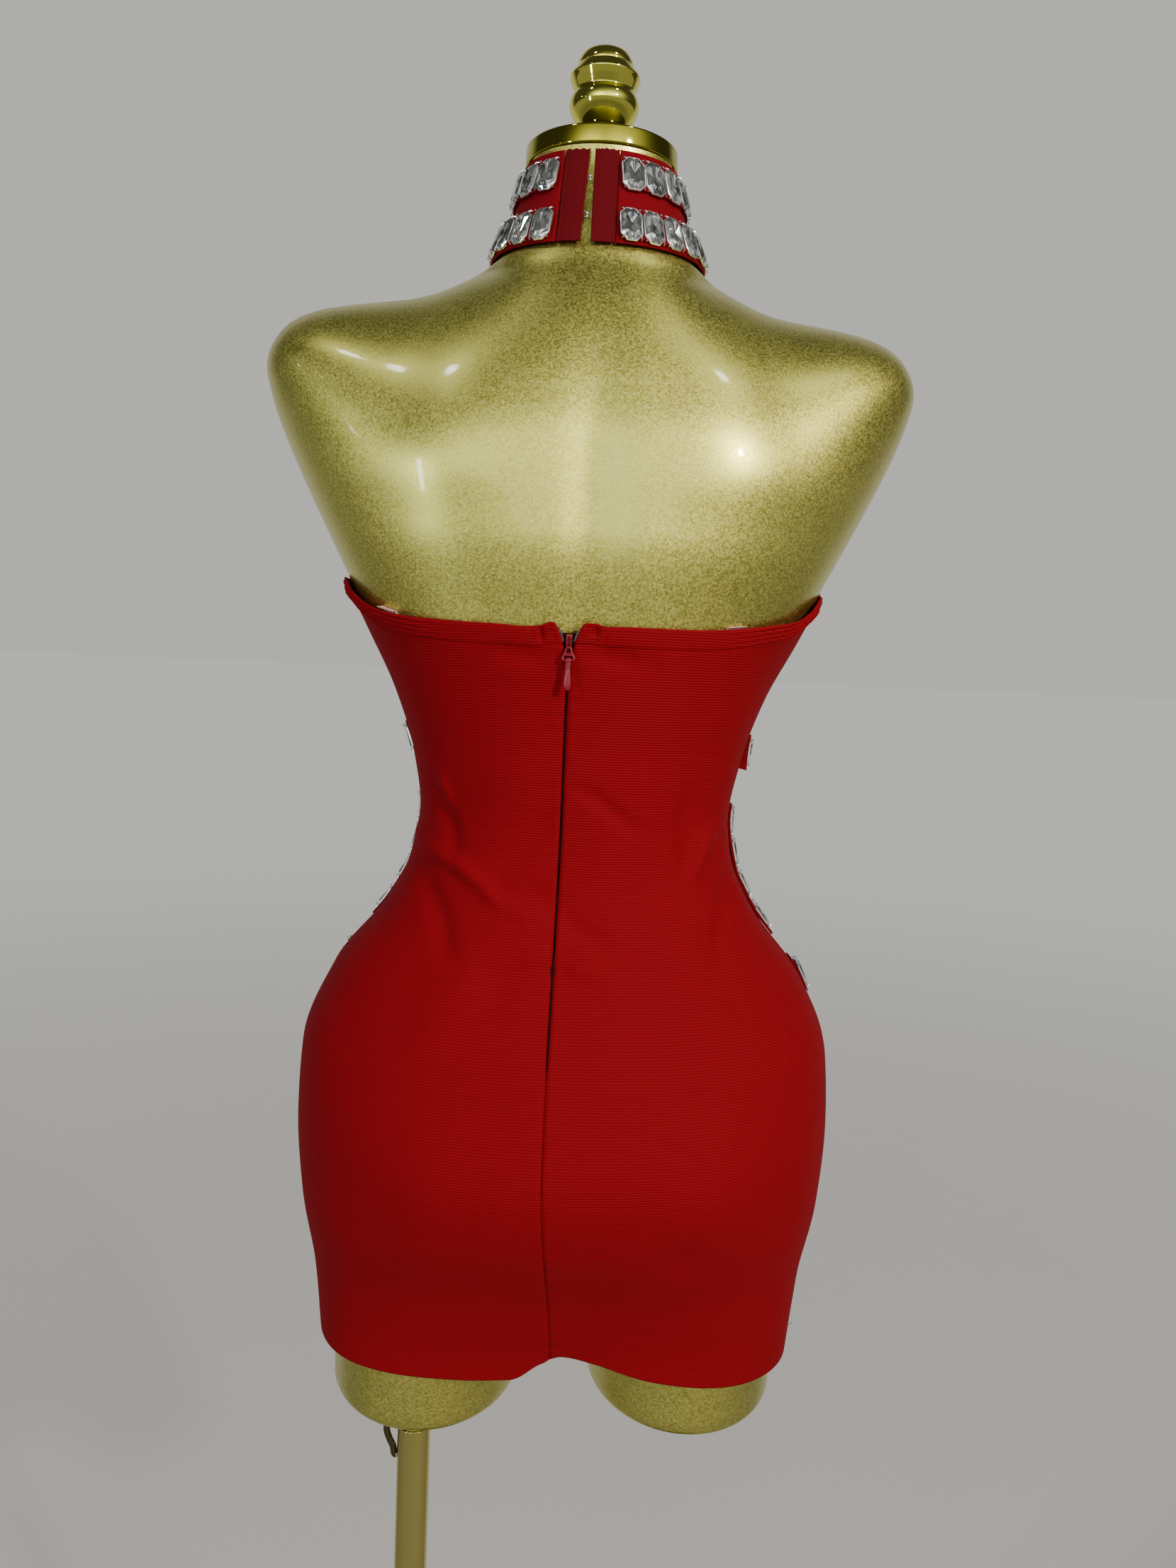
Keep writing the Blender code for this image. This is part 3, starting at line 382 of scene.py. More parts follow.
def moundAmount(mound, height, across, facing, bridged):
    aside = np.abs(across) - mound[1]
    if bridged:
        aside = np.maximum(aside, 0.0)
    up = (height - mound[0]) / mound[3]
    side = aside / mound[4]
    amount = mound[5] * np.exp(-up * up - side * side) * np.minimum(1.0, np.abs(facing) * 3.0)
    return np.where(facing * mound[2] > 0.0, amount, 0.0)


def ovalRadius(sine, cosine, halfWidth, depth, squareness):
    return ((sine / halfWidth) ** squareness + (cosine / depth) ** squareness) ** (-1.0 / squareness)


def shoulderReach(line, height, sine, cosine):
    # the shoulder line falls away to the back and front; its edge lies between the two answers
    near, far = np.zeros_like(sine), np.full_like(sine, 0.30)
    for _ in range(14):
        middle = 0.5 * (near + far)
        fall = (middle * cosine) ** 2 / (2.0 * figure["shoulderRound"])
        inside = tableValue(line, 1, middle * sine) - fall > height
        near, far = np.where(inside, middle, near), np.where(inside, far, middle)
    return near, far


def surfaceRadius(height, angle, clothed):
    height, angle = np.broadcast_arrays(np.asarray(height, float), np.asarray(angle, float))
    halfWidth, back, front, squareness = (tableValue(bodySections, column, height) for column in (1, 2, 3, 4))
    facing = np.cos(angle)
    depth = np.where(facing >= 0.0, back, front)
    sine, cosine = np.abs(np.sin(angle)), np.abs(facing)
    radius = ovalRadius(sine, cosine, halfWidth, depth, squareness)
    near, far = shoulderReach(shoulderLine, height, sine, cosine)
    blend = figure["shoulderBlend"]
    rounded = (radius**-blend + (0.5 * (near + far)) ** -blend) ** (-1.0 / blend)
    radius = np.where(height > figure["shoulderStart"], rounded, radius)
    across = radius * np.sin(angle)
    if clothed:
        for mound in (*mounds.values(), *clothMounds.values()):
            if mound[5] > 0.0:
                radius = radius + moundAmount(mound, height, across, facing, True)
        share = np.clip((figure["crotch"] - height) / 0.05, 0.0, 1.0)
        radius = radius + share * moundAmount(seatHollow, height, across, facing, False)
    else:
        for mound in mounds.values():
            radius = radius + moundAmount(mound, height, across, facing, False)
    return radius


def softBack(height, angle, radius):
    # rounds the form's bare upper back over into the shoulders and the neck
    sine, facing = np.abs(np.sin(angle)), np.cos(angle)
    share = softStep(0.0, 0.4, facing) * softStep(0.699, 0.690, height) * softStep(0.56, 0.60, height)
    near, _ = shoulderReach(backShoulderLine, height, sine, facing)
    neck = 0.058 + 0.6 * np.maximum(0.700 - height, 0.0)
    blend = figure["backBlend"]
    shoulder = (np.maximum(near, 0.01) ** blend + neck**blend) ** (1.0 / blend)
    halfWidth, back = (tableValue(bodySections, column, height) for column in (1, 2))
    wide = ovalRadius(sine, np.abs(facing), halfWidth, back, figure["backSquareness"])
    rounded = (wide**-blend + shoulder**-blend) ** (-1.0 / blend)
    across = rounded * np.sin(angle)
    for mound in mounds.values():
        rounded = rounded + moundAmount(mound, height, across, facing, False)
    return radius + share * (rounded - radius)


def onSurface(height, angle, clothed=True):
    radius = surfaceRadius(height, angle, clothed)
    if not clothed:
        radius = softBack(height, angle, radius)
    level = figure["floor"] + np.broadcast_to(height, radius.shape)
    return np.stack([radius * np.sin(angle), radius * np.cos(angle), level], -1)


def outwardNormal(height, angle):
    up = onSurface(height + 0.0015, angle) - onSurface(height - 0.0015, angle)
    around = onSurface(height, angle + 0.015) - onSurface(height, angle - 0.015)
    normal = np.cross(up, around)
    return normal / np.linalg.norm(normal, axis=-1, keepdims=True)


def bodyPoint(height, angle, out):
    height, angle = np.asarray(height, float), np.asarray(angle, float)
    return onSurface(height, angle) + outwardNormal(height, angle) * np.asarray(out)[..., None]


def angleAcross(height, across):
    angle = np.zeros_like(height)
    for _ in range(5):
        angle = np.arcsin(across / surfaceRadius(height, angle, True))
    return angle


# Mesh helpers

def addPiece(name, bm, look, body, node=None, smoothDegrees=40.0):
    mesh = bpy.data.meshes.new(name)
    bm.to_mesh(mesh)
    bm.free()
    piece = bpy.data.objects.new(name, mesh)
    bpy.context.scene.collection.objects.link(piece)
    mesh.materials.append(look)
    if smoothDegrees:
        mesh.shade_smooth()
        mesh.set_sharp_from_angle(angle=math.radians(smoothDegrees))
    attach(piece, body)
    if node:
        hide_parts(node)
    return piece


def turnedMesh(profile, centre, base, steps):
    bm = bmesh.new()
    points = [bm.verts.new((radius, 0.0, height)) for radius, height in profile]
    edges = [bm.edges.new(pair) for pair in zip(points, points[1:])]
    bmesh.ops.spin(
        bm, geom=points + edges, cent=(0, 0, 0), axis=(0, 0, 1), dvec=(0, 0, 0),
        angle=2.0 * math.pi, steps=steps, use_merge=True, use_duplicate=False,
    )
    bmesh.ops.remove_doubles(bm, verts=bm.verts, dist=1e-6)
    bmesh.ops.recalc_face_normals(bm, faces=bm.faces)
    bmesh.ops.translate(bm, verts=bm.verts, vec=(centre[0], centre[1], base))
    return bm


def roundedProfile(corners, radius, arcSteps=4):
    # rounds each inner corner of an outline of (radius, height) pairs
    made = [corners[0]]
    for before, here, after in zip(corners, corners[1:], corners[2:]):
        here = Vector(here)
        toBefore, toAfter = Vector(before) - here, Vector(after) - here
        cut = min(radius, 0.45 * toBefore.length, 0.45 * toAfter.length)
        start, end = here + toBefore.normalized() * cut, here + toAfter.normalized() * cut
        for step in range(arcSteps + 1):
            share = step / arcSteps
            made.append(tuple(start * (1 - share) ** 2 + here * 2 * share * (1 - share) + end * share**2))
    made.append(corners[-1])
    return made


def splinePoints(points, perSegment, closed=False):
    # Catmull-Rom through the points
    points = [Vector(point) for point in points]
    count = len(points)
    made = []
    for index in range(count if closed else count - 1):
        if closed:
            a, b, c, d = (points[(index + k) % count] for k in (-1, 0, 1, 2))
        else:
            a, b = points[max(index - 1, 0)], points[index]
            c, d = points[index + 1], points[min(index + 2, count - 1)]
        for step in range(perSegment):
            t = step / perSegment
            bend = (2 * a - 5 * b + 4 * c - d) * t**2 + (3 * b - a - 3 * c + d) * t**3
            made.append(0.5 * (2 * b + (c - a) * t + bend))
    if not closed:
        made.append(points[-1])
    return made


def wireInto(bm, points, radius, sides, closed=False):
    # sweeps a round section along the points and joins it to the mesh
    points = [Vector(point) for point in points]
    count = len(points)
    rings = []
    side = None
    for index, point in enumerate(points):
        if closed:
            ahead = (points[(index + 1) % count] - points[index - 1]).normalized()
        else:
            ahead = (points[min(index + 1, count - 1)] - points[max(index - 1, 0)]).normalized()
        if side is None:
            guess = Vector((1.0, 0.0, 0.0)) if abs(ahead.x) < 0.8 else Vector((0.0, 0.0, 1.0))
            side = (guess - ahead * guess.dot(ahead)).normalized()
        side = (side - ahead * side.dot(ahead)).normalized()
        made = bmesh.ops.create_circle(bm, cap_ends=False, radius=radius, segments=sides)["verts"]
        turn = Matrix((side, ahead.cross(side), ahead)).transposed().to_4x4()
        bmesh.ops.transform(bm, matrix=Matrix.Translation(point) @ turn, verts=made)
        rings.append(made)
    edges = [list(dict.fromkeys(edge for vert in ring for edge in vert.link_edges)) for ring in rings]
    for index in range(count if closed else count - 1):
        bmesh.ops.bridge_loops(bm, edges=edges[index] + edges[(index + 1) % count])
    if not closed:
        bmesh.ops.holes_fill(bm, edges=edges[0] + edges[-1], sides=0)


def wireMesh(points, radius, sides):
    bm = bmesh.new()
    wireInto(bm, points, radius, sides)
    bmesh.ops.recalc_face_normals(bm, faces=bm.faces)
    return bm


# Creases: soft troughs and ridges along short lines, in distance across and height
relief = {
    "ridge": 2.4,  # times the lifts below
    "trough": 2.4,
    "deepest": 0.0031,
    "ease": 0.0014,
    "easeHeight": 0.345,
    "easeSpread": 0.060,
}
backCreases = [  # width, lift, points
    (0.0030, 0.0010, [(0.081, 0.403), (0.075, 0.390), (0.073, 0.378)]),
    (0.0045, -0.0011, [(0.083, 0.398), (0.076, 0.380), (0.071, 0.368), (0.069, 0.350)]),
    (0.0045, 0.0016, [
        (0.091, 0.360), (0.083, 0.354), (0.067, 0.348), (0.053, 0.338), (0.042, 0.328), (0.030, 0.323),
    ]),
    (0.0055, -0.0014, [(0.090, 0.343), (0.082, 0.328), (0.076, 0.315), (0.072, 0.300), (0.067, 0.290)]),
    (0.0070, -0.0013, [(0.015, 0.390), (0.022, 0.373), (0.032, 0.358), (0.041, 0.348), (0.045, 0.338)]),
    (0.0060, -0.0008, [(0.035, 0.328), (0.024, 0.335), (0.012, 0.328)]),
    (0.0045, -0.0009, [(0.006, 0.400), (-0.009, 0.393), (-0.019, 0.385), (-0.037, 0.370)]),
    (0.0060, -0.0009, [(0.010, 0.323), (-0.007, 0.313), (-0.024, 0.303)]),
    (0.0032, 0.0008, [(0.033, 0.296), (0.019, 0.300), (0.012, 0.300)]),
    (0.0032, 0.0008, [(0.007, 0.296), (-0.007, 0.293), (-0.020, 0.293)]),
    (0.0060, -0.0009, [(0.063, 0.290), (0.038, 0.286), (0.025, 0.289), (0.013, 0.293), (-0.003, 0.288)]),
    (0.0060, -0.0014, [(-0.063, 0.398), (-0.061, 0.383), (-0.063, 0.365), (-0.065, 0.343)]),
    (0.0042, 0.0015, [(-0.067, 0.340), (-0.069, 0.355), (-0.074, 0.365), (-0.080, 0.375)]),
    (0.0055, -0.0013, [(-0.092, 0.353), (-0.088, 0.328), (-0.085, 0.313), (-0.082, 0.298)]),
    (0.0060, -0.0007, [(0.055, 0.475), (0.037, 0.473), (0.019, 0.470)]),
    (0.0060, -0.0008, [(0.000, 0.475), (-0.016, 0.473), (-0.034, 0.470)]),
    (0.0016, -0.0010, [(0.026, 0.489), (0.025, 0.480)]),
    (0.0016, -0.0010, [(-0.005, 0.490), (-0.004, 0.483)]),
    (0.0110, -0.0008, [(-0.052, 0.138), (-0.069, 0.133), (-0.087, 0.130)]),
    (0.0140, 0.0010, [(-0.050, 0.330), (-0.066, 0.285), (-0.090, 0.245)]),
    (0.0140, 0.0009, [(0.052, 0.310), (0.070, 0.270), (0.096, 0.235)]),
]
frontCreases = [
    (0.0060, -0.0012, [(0.080, 0.395), (0.060, 0.372), (0.044, 0.350)]),
    (0.0045, 0.0014, [(0.088, 0.366), (0.066, 0.350), (0.045, 0.336), (0.026, 0.330)]),
    (0.0060, -0.0012, [(0.086, 0.335), (0.070, 0.312), (0.060, 0.288)]),
    (0.0060, -0.0011, [(-0.082, 0.400), (-0.064, 0.380), (-0.050, 0.352)]),
    (0.0042, 0.0014, [(-0.090, 0.352), (-0.068, 0.344), (-0.044, 0.334)]),
    (0.0060, -0.0013, [(-0.084, 0.322), (-0.066, 0.304), (-0.040, 0.296)]),
    (0.0090, 0.0009, [(-0.030, 0.300), (0.000, 0.294), (0.028, 0.302)]),
    (0.0080, -0.0009, [(0.030, 0.430), (0.012, 0.415), (-0.008, 0.412)]),
    (0.0120, 0.0010, [(0.030, 0.585), (0.036, 0.625), (0.034, 0.665)]),
    (0.0120, 0.0009, [(-0.032, 0.590), (-0.035, 0.630), (-0.031, 0.668)]),
    (0.0130, -0.0008, [(0.060, 0.120), (0.075, 0.135), (0.092, 0.140)]),
]


def creaseAmount(creases, across, height):
    total = np.zeros_like(across)
    for width, lift, points in creases:
        spots = np.array(points)
        lengths = np.linalg.norm(np.diff(spots, axis=0), axis=1)
        before = np.concatenate([[0.0], np.cumsum(lengths)])
        nearest = np.full_like(across, 1.0)
        along = np.zeros_like(across)
        for index, (start, end) in enumerate(zip(spots, spots[1:])):
            way = end - start
            share = ((across - start[0]) * way[0] + (height - start[1]) * way[1]) / (way @ way)
            share = np.clip(share, 0.0, 1.0)
            gap = np.hypot(across - start[0] - share * way[0], height - start[1] - share * way[1])
            closer = gap < nearest
            nearest = np.where(closer, gap, nearest)
            along = np.where(closer, before[index] + share * lengths[index], along)
        ends = np.minimum(along, before[-1] - along) / (0.35 * before[-1])
        fade = 0.25 + 0.75 * softStep(0.0, 1.0, ends)
        total += lift * fade * np.exp(-((nearest / width) ** 2))
    deepest = relief["deepest"]
    return np.where(total < 0.0, deepest * np.tanh(relief["trough"] * total / deepest), relief["ridge"] * total)


def easeAmount(height, side):
    # the cloth bridges the waist, so it stands off there and gives the creases depth
    spread = np.exp(-(((height - relief["easeHeight"]) / relief["easeSpread"]) ** 2))
    return relief["ease"] * spread * softStep(0.0, 0.020, side)


def unevenness(across, height, seed):
    # slow hand-like variation, a few tenths of a millimetre
    shift = 1.7 * seed
    return (
        0.00022 * np.sin(62.0 * across + 34.0 * height + shift)
        + 0.00018 * np.sin(-41.0 * across + 77.0 * height + 2.0 * shift)
        + 0.00010 * np.sin(150.0 * across + 21.0 * height + 3.0 * shift)
    )


# Cloth panels
hemHeights = np.array([  # degrees round the figure, height
    (-180, 0.0450),
    (-115, 0.0450),
    (-85, 0.0385),
    (-60, 0.0330),
    (-40, 0.0395),
    (-18, 0.0515),
    (-2, 0.0555),
    (8, 0.0500),
    (22, 0.0392),
    (45, 0.0396),
    (62, 0.0404),
    (80, 0.0462),
    (92, 0.0490),
    (120, 0.0470),
    (180, 0.0450),
])
backTopHeights = np.array([
    (-90, 0.5150),
    (-85, 0.5149),
    (-80, 0.5126),
    (-76, 0.5085),
    (-72, 0.5024),
    (-68, 0.4987),
    (-62, 0.4960),
    (-55, 0.4934),
    (-45, 0.4910),
    (-35, 0.4900),
    (-15, 0.4899),
    (-7, 0.4896),
    (-2, 0.4911),
    (13.5, 0.4910),
    (18, 0.4887),
    (24, 0.4883),
    (30, 0.4889),
    (42, 0.4896),
    (55, 0.4912),
    (62, 0.4930),
    (68, 0.4962),
    (73, 0.5008),
    (78, 0.5074),
    (82, 0.5128),
    (86, 0.5148),
    (95, 0.5152),
])
backSeamOffsets = np.array([  # height, distance of the seam towards the wearer's left
    (0.045, 0.0045),
    (0.190, 0.0140),
    (0.377, 0.0100),
    (0.500, 0.0100),
])
zipOpening = np.array([  # height, half width between the back panels
    (0.2340, -0.00015),
    (0.2500, 0.00042),
    (0.4690, 0.00060),
    (0.4770, 0.00230),
    (0.4884, 0.00630),
    (0.4903, 0.00740),
    (0.4916, 0.00960),
])
halterEdge = np.array([  # height, degrees from the back centre
    (0.5145, 90.0),
    (0.5175, 95.5),
    (0.525, 101.0),
    (0.542, 106.5),
    (0.580, 117.0),
    (0.640, 124.0),
    (0.685, 122.0),
    (0.700, 112.0),
])
panels = {
    "backColumns": 124,
    "backRows": 240,
    "frontColumns": 150,
    "frontRows": 260,
    "frontTop": 0.6978,
    "crowd": 0.72,  # how much closer the columns and rows come at the edges
    "wall": 0.0012,
    "edgeRound": 0.0014,
    "bandWidth": 0.0115,
    "bandLift": 0.0005,
    "stitchGroove": 0.0004,
    "lip": 0.0028,  # the top edge stands off under the arms
    "lipBelow": 0.0040,
    "lipSpread": 0.0090,
    "lipDegrees": (48.0, 76.0),  # from the back centre, where it starts and is whole
    "pleatDegrees": (40.0, 75.0),
    "pleat": 0.00060,
    "pleatPitch": 0.0027,
    "tabs": (0.0145, 0.0150),  # width of the turned corners left and right of the zip
    "tabRib": 0.00022,
    "tabRibPitch": 0.0013,
    "seamDip": 0.0006,
    "seamDipWidth": 0.0013,
    "puckerPitch": 0.0085,
    "pucker": 0.00022,
}


def hemAt(angle):
    return tableValue(hemHeights, 1, (np.degrees(angle) + 180.0) % 360.0 - 180.0)


def backTopAt(angle):
    return tableValue(backTopHeights, 1, np.degrees(angle))


def levelEdge(height):
    # an edge that keeps one height all the way round
    return lambda angle: np.full_like(angle, height)


def degreesAside(angle):
    return np.abs((np.degrees(angle) + 180.0) % 360.0 - 180.0)


def seamOffset(height):
    return tableValue(backSeamOffsets, 1, height)


def seamAngle(height, side=0.0):
    opening = tableValue(zipOpening, 1, height) + 0.5 * figure["seam"]
    return angleAcross(height, seamOffset(height) + side * opening)


def crowded(share, amount):
    return share - amount * np.sin(2.0 * math.pi * share) / (2.0 * math.pi)


def clothPanel(name, columns, rows, low, high, first, last, outAt, look, body, node, wall):
    bm = bmesh.new()
    columns, rows = max(3, round(columns * fineness)), max(3, round(rows * fineness))
    bmesh.ops.create_grid(bm, x_segments=columns, y_segments=rows, size=0.5)
    grid = np.array([vert.co[:2] for vert in bm.verts])
    along = crowded(0.5 - grid[:, 0], panels["crowd"])
    up = crowded(0.5 + grid[:, 1], panels["crowd"])
    # the side edges go by the height and the other two by the angle, so both settle together
    height = np.full(len(along), 0.3)
    for _ in range(7):
        start, end = first(height), last(height)
        angle = start + (end - start) * along
        bottom, top = low(angle), high(angle)
        height = bottom + (top - bottom) * up
    radius = surfaceRadius(height, angle, True)
    edges = {
        "start": along * (end - start) * radius,
        "end": (1.0 - along) * (end - start) * radius,
        "top": top - height,
        "bottom": height - bottom,
    }
    out = outAt(height, angle, radius, edges)
    nearest = np.minimum.reduce(list(edges.values()))
    rounding = np.clip(1.0 - nearest / panels["edgeRound"], 0.0, 1.0)
    out = out - 0.45 * wall * rounding**2
    spots = bodyPoint(height, angle, out)
    for vert, spot in zip(bm.verts, spots):
        vert.co = spot
    layer = bm.loops.layers.uv.new("cloth")
    seam = seamAngle(height)
    for face in bm.faces:
        for loop in face.loops:
            index = loop.vert.index
            loop[layer].uv = ((angle[index] - seam[index]) * radius[index], height[index])
    piece = addPiece(name, bm, look, body, node, smoothDegrees=60.0)
    solid = piece.modifiers.new("wall", "SOLIDIFY")
    solid.thickness = wall
    solid.offset = -1.0
    solid.use_even_offset = False
    return piece


def bandRelief(distance):
    # the turned edge: a flat doubled band with a stitched groove beside it
    band = panels["bandLift"] * softStep(panels["bandWidth"] + 0.0008, panels["bandWidth"] - 0.0004, distance)
    return band - panels["stitchGroove"] * np.exp(-(((distance - panels["bandWidth"]) / 0.0008) ** 2))


def topBand(height, angle, edges, side):
    # the band along the top, which stands off and crumples under the arms
    top = edges["top"]
    aside = degreesAside(angle)
    lip = panels["lip"] * softStep(*panels["lipDegrees"], aside) * (0.15 + 0.85 * softStep(0.0, 0.018, side))
    lip = lip * np.exp(-(((top - panels["lipBelow"]) / panels["lipSpread"]) ** 2))
    lip = lip * (1.0 - 0.85 * softStep(0.505, 0.5145, height))
    pleats = panels["pleat"] * softStep(*panels["pleatDegrees"], aside) * softStep(0.0150, 0.0110, top)
    wave = np.sin(2.0 * math.pi * (top / panels["pleatPitch"] + 0.03 * aside))
    return bandRelief(top) + lip + pleats * wave


def seamRelief(height, distance):
    dip = panels["seamDip"] * np.exp(-((distance / panels["seamDipWidth"]) ** 2))
    wave = np.sin(2.0 * math.pi * height / panels["puckerPitch"] + 1.3 * np.sin(31.0 * height))
    pucker = panels["pucker"] * wave * np.exp(-distance / 0.006)
    return pucker - dip


def cornerTab(top, distance, width):
    # the band's end turned back at the zip: level ribs as far as an upright stitched groove
    near = softStep(panels["bandWidth"] + 0.0006, panels["bandWidth"] - 0.0006, top)
    ribs = panels["tabRib"] * np.sin(2.0 * math.pi * top / panels["tabRibPitch"])
    ribs = ribs * softStep(width, width - 0.0010, distance)
    groove = 0.0006 * np.exp(-(((distance - width - 0.0006) / 0.0006) ** 2))
    roll = 0.0007 * np.exp(-((distance / 0.0022) ** 2))
    return near * (ribs - groove + roll)


def sideSeamDip(side):
    return 0.0006 * np.exp(-((side / 0.0014) ** 2))


def hemFold(edges):
    return 0.0001 * softStep(0.0165, 0.0150, edges["bottom"])


def backOut(height, angle, radius, edges, seamSide):
    across = radius * np.sin(angle)
    out = figure["gap"] + figure["cloth"] + creaseAmount(backCreases, across, height)
    out = out + unevenness(across, height, 1.0) * softStep(0.0, 0.02, edges["top"])
    side = edges["end" if seamSide == "start" else "start"]
    out = out + topBand(height, angle, edges, side) + seamRelief(height, edges[seamSide])
    out = out + cornerTab(edges["top"], edges[seamSide], panels["tabs"][0 if seamSide == "start" else 1])
    out = out + easeAmount(height, np.minimum(side, edges[seamSide]))
    return out - sideSeamDip(side) + hemFold(edges)


def frontOut(height, angle, radius, edges):
    across = radius * np.sin(angle)
    out = figure["gap"] + figure["cloth"] + creaseAmount(frontCreases, across, height)
    out = out + unevenness(across, height, 2.0)
    side = np.minimum(edges["start"], edges["end"])
    above = softStep(0.495, 0.515, height)
    hug = 0.0012 * softStep(0.513, 0.519, height) * softStep(0.56, 0.54, height) * np.exp(-((side / 0.02) ** 2))
    return out - hug + above * bandRelief(side) - (1.0 - above) * sideSeamDip(side) + hemFold(edges)


def sideSeamTurn(height):
    return 0.5 * figure["seam"] / tableValue(bodySections, 1, height)


def halterAt(height):
    return np.radians(tableValue(halterEdge, 1, height))


quarter = math.radians(90.0)
turned = figure["twist"]
front = clothPanel(
    "halterFront", panels["frontColumns"], panels["frontRows"], hemAt, levelEdge(panels["frontTop"]),
    lambda height: halterAt(height) + turned + sideSeamTurn(height),
    lambda height: 2.0 * math.pi - halterAt(height) + turned - sideSeamTurn(height),
    frontOut, redKnit, "figure", "front", panels["wall"],
)
backLeft = clothPanel(
    "backPanelLeft", panels["backColumns"], panels["backRows"], hemAt, backTopAt,
    lambda height: seamAngle(height, 1.0), lambda height: quarter + turned - sideSeamTurn(height),
    lambda *shape: backOut(*shape, "start"), redKnit, "figure", "back_left", panels["wall"],
)
backRight = clothPanel(
    "backPanelRight", panels["backColumns"], panels["backRows"], hemAt, backTopAt,
    lambda height: turned - quarter + sideSeamTurn(height), lambda height: seamAngle(height, -1.0),
    lambda *shape: backOut(*shape, "end"), redKnit, "figure", "back_right", panels["wall"],
)
print("dress panels made")


# Collar: a doubled band, open at the back, with a plain tab at each end
collar = {
    "bottom": 0.6988,
    "top": 0.7555,
    "slitBottom": (0.0062, 0.0119),  # distances of its right and left edges from the middle
    "slitTop": (0.0050, 0.0076),
    "tab": 0.0130,
    "wall": 0.0013,
    "columns": 190,
    "rows": 44,
    "tabColumns": 22,
    "tabRows": 60,
}


def slitAngle(height, side, extra=0.0):
    share = (height - collar["bottom"]) / (collar["top"] - collar["bottom"])
    index = 1 if side > 0 else 0
    bottom, top = collar["slitBottom"][index], collar["slitTop"][index]
    across = bottom + (top - bottom) * share
    return angleAcross(height, across + side * extra)


def collarOut(height, angle, radius, edges):
    across = radius * np.sin(angle)
    fold = 0.0003 * softStep(0.0052, 0.0040, edges["bottom"]) + 0.0003 * softStep(0.0052, 0.0040, edges["top"])
    return figure["gap"] + figure["cloth"] + fold + 0.5 * unevenness(across, height, 4.0)


def tabOut(height, angle, radius, edges):
    side = np.minimum(edges["start"], edges["end"])
    groove = 0.00030 * np.exp(-(((side - 0.0019) / 0.0005) ** 2))
    foot = 0.00035 * softStep(0.0030, 0.0024, edges["bottom"])
    across = radius * np.sin(angle)
    uneven = unevenness(3.0 * across, 2.0 * height, 5.0)
    return figure["gap"] + figure["cloth"] + 0.0002 - groove + foot + uneven


def tabHigh(angle):
    return collar["top"] + 0.0004 * np.sin(410.0 * angle)


tabReach = collar["tab"]
collarBand = clothPanel(
    "collarBand", collar["columns"], collar["rows"], levelEdge(collar["bottom"]), levelEdge(collar["top"]),
    lambda height: slitAngle(height, 1, tabReach + figure["seam"]),
    lambda height: 2.0 * math.pi + slitAngle(height, -1, tabReach + figure["seam"]),
    collarOut, collarKnit, "figure", "collar", collar["wall"],
)
collarTabLeft = clothPanel(
    "collarTabLeft", collar["tabColumns"], collar["tabRows"], levelEdge(collar["bottom"]), tabHigh,
    lambda height: slitAngle(height, 1), lambda height: slitAngle(height, 1, tabReach),
    tabOut, tabKnit, "figure", "collar_end_left", collar["wall"],
)
collarTabRight = clothPanel(
    "collarTabRight", collar["tabColumns"], collar["tabRows"], levelEdge(collar["bottom"]), tabHigh,
    lambda height: slitAngle(height, -1, tabReach), lambda height: slitAngle(height, -1),
    tabOut, tabKnit, "figure", "collar_end_right", collar["wall"],
)
print("collar made")


# Stones: long octagons in thin silver settings with claws, sewn to narrow strips
stones = {
    "long": 0.0190,
    "short": 0.0135,
    "gap": 0.0018,
    "corner": 0.0036,
    "notch": 0.0006,
    "steps": [(0.0, 0.0, 0.0005), (0.0, 1.0, 0.0011), (0.0015, 0.5, 0.0022), (0.0034, 0.0, 0.0029)],
    "strip": 0.0006,
    "cup": [(0.0003, 0.0), (0.0003, 0.0009), (0.0, 0.0012)],  # past the stone's edge, up
    "claw": 0.00036,
    "clawOut": 0.0006,
    "clawPath": [(0.0, 0.0), (0.0, 0.0010), (0.0007, 0.0019), (0.0017, 0.0023)],  # inward, up
    "tilt": 0.022,
    "star": 0.00110,  # how deep the middle of the cut looks
    "facetJitter": 0.00024,
    "backingMargin": 0.0030,
}
collarRows = {"collar_stones_lower": (0.7095, 23), "collar_stones_upper": (0.7404, 18)}
sideTrims = {  # middle height, stones, how far out, how far the lower end of the right one stands off
    "upper": (0.4183, 1, 0.0003, 0.0040),
    "middle": (0.3420, 4, 0.0009, 0.0),
    "lower": (0.2738, 1, 0.0003, 0.0),
}
trimPlacing = {"degrees": 95.0, "pitch": 0.0225}


def octagon(halfShort, halfLong, corner, notch, dent, level):
    quadrant = [(notch, halfLong), (halfShort - corner, halfLong), (halfShort, halfLong - corner)]
    right = quadrant + [(x, -y) for x, y in reversed(quadrant)]
    left = [(-x, y) for x, y in reversed(right)]
    dip = halfLong - 1.5 * dent
    return [(x, y, level) for x, y in [(0.0, dip), *right, (0.0, -dip), *left]]


def stackedRings(bm, rings):
    loops = [[bm.verts.new(point) for point in ring] for ring in rings]
    for lower, upper in zip(loops, loops[1:]):
        for index in range(len(lower)):
            bm.faces.new((lower[index - 1], lower[index], upper[index], upper[index - 1]))
    bm.faces.new(loops[0])
    bm.faces.new(loops[-1])
    bmesh.ops.recalc_face_normals(bm, faces=bm.faces)


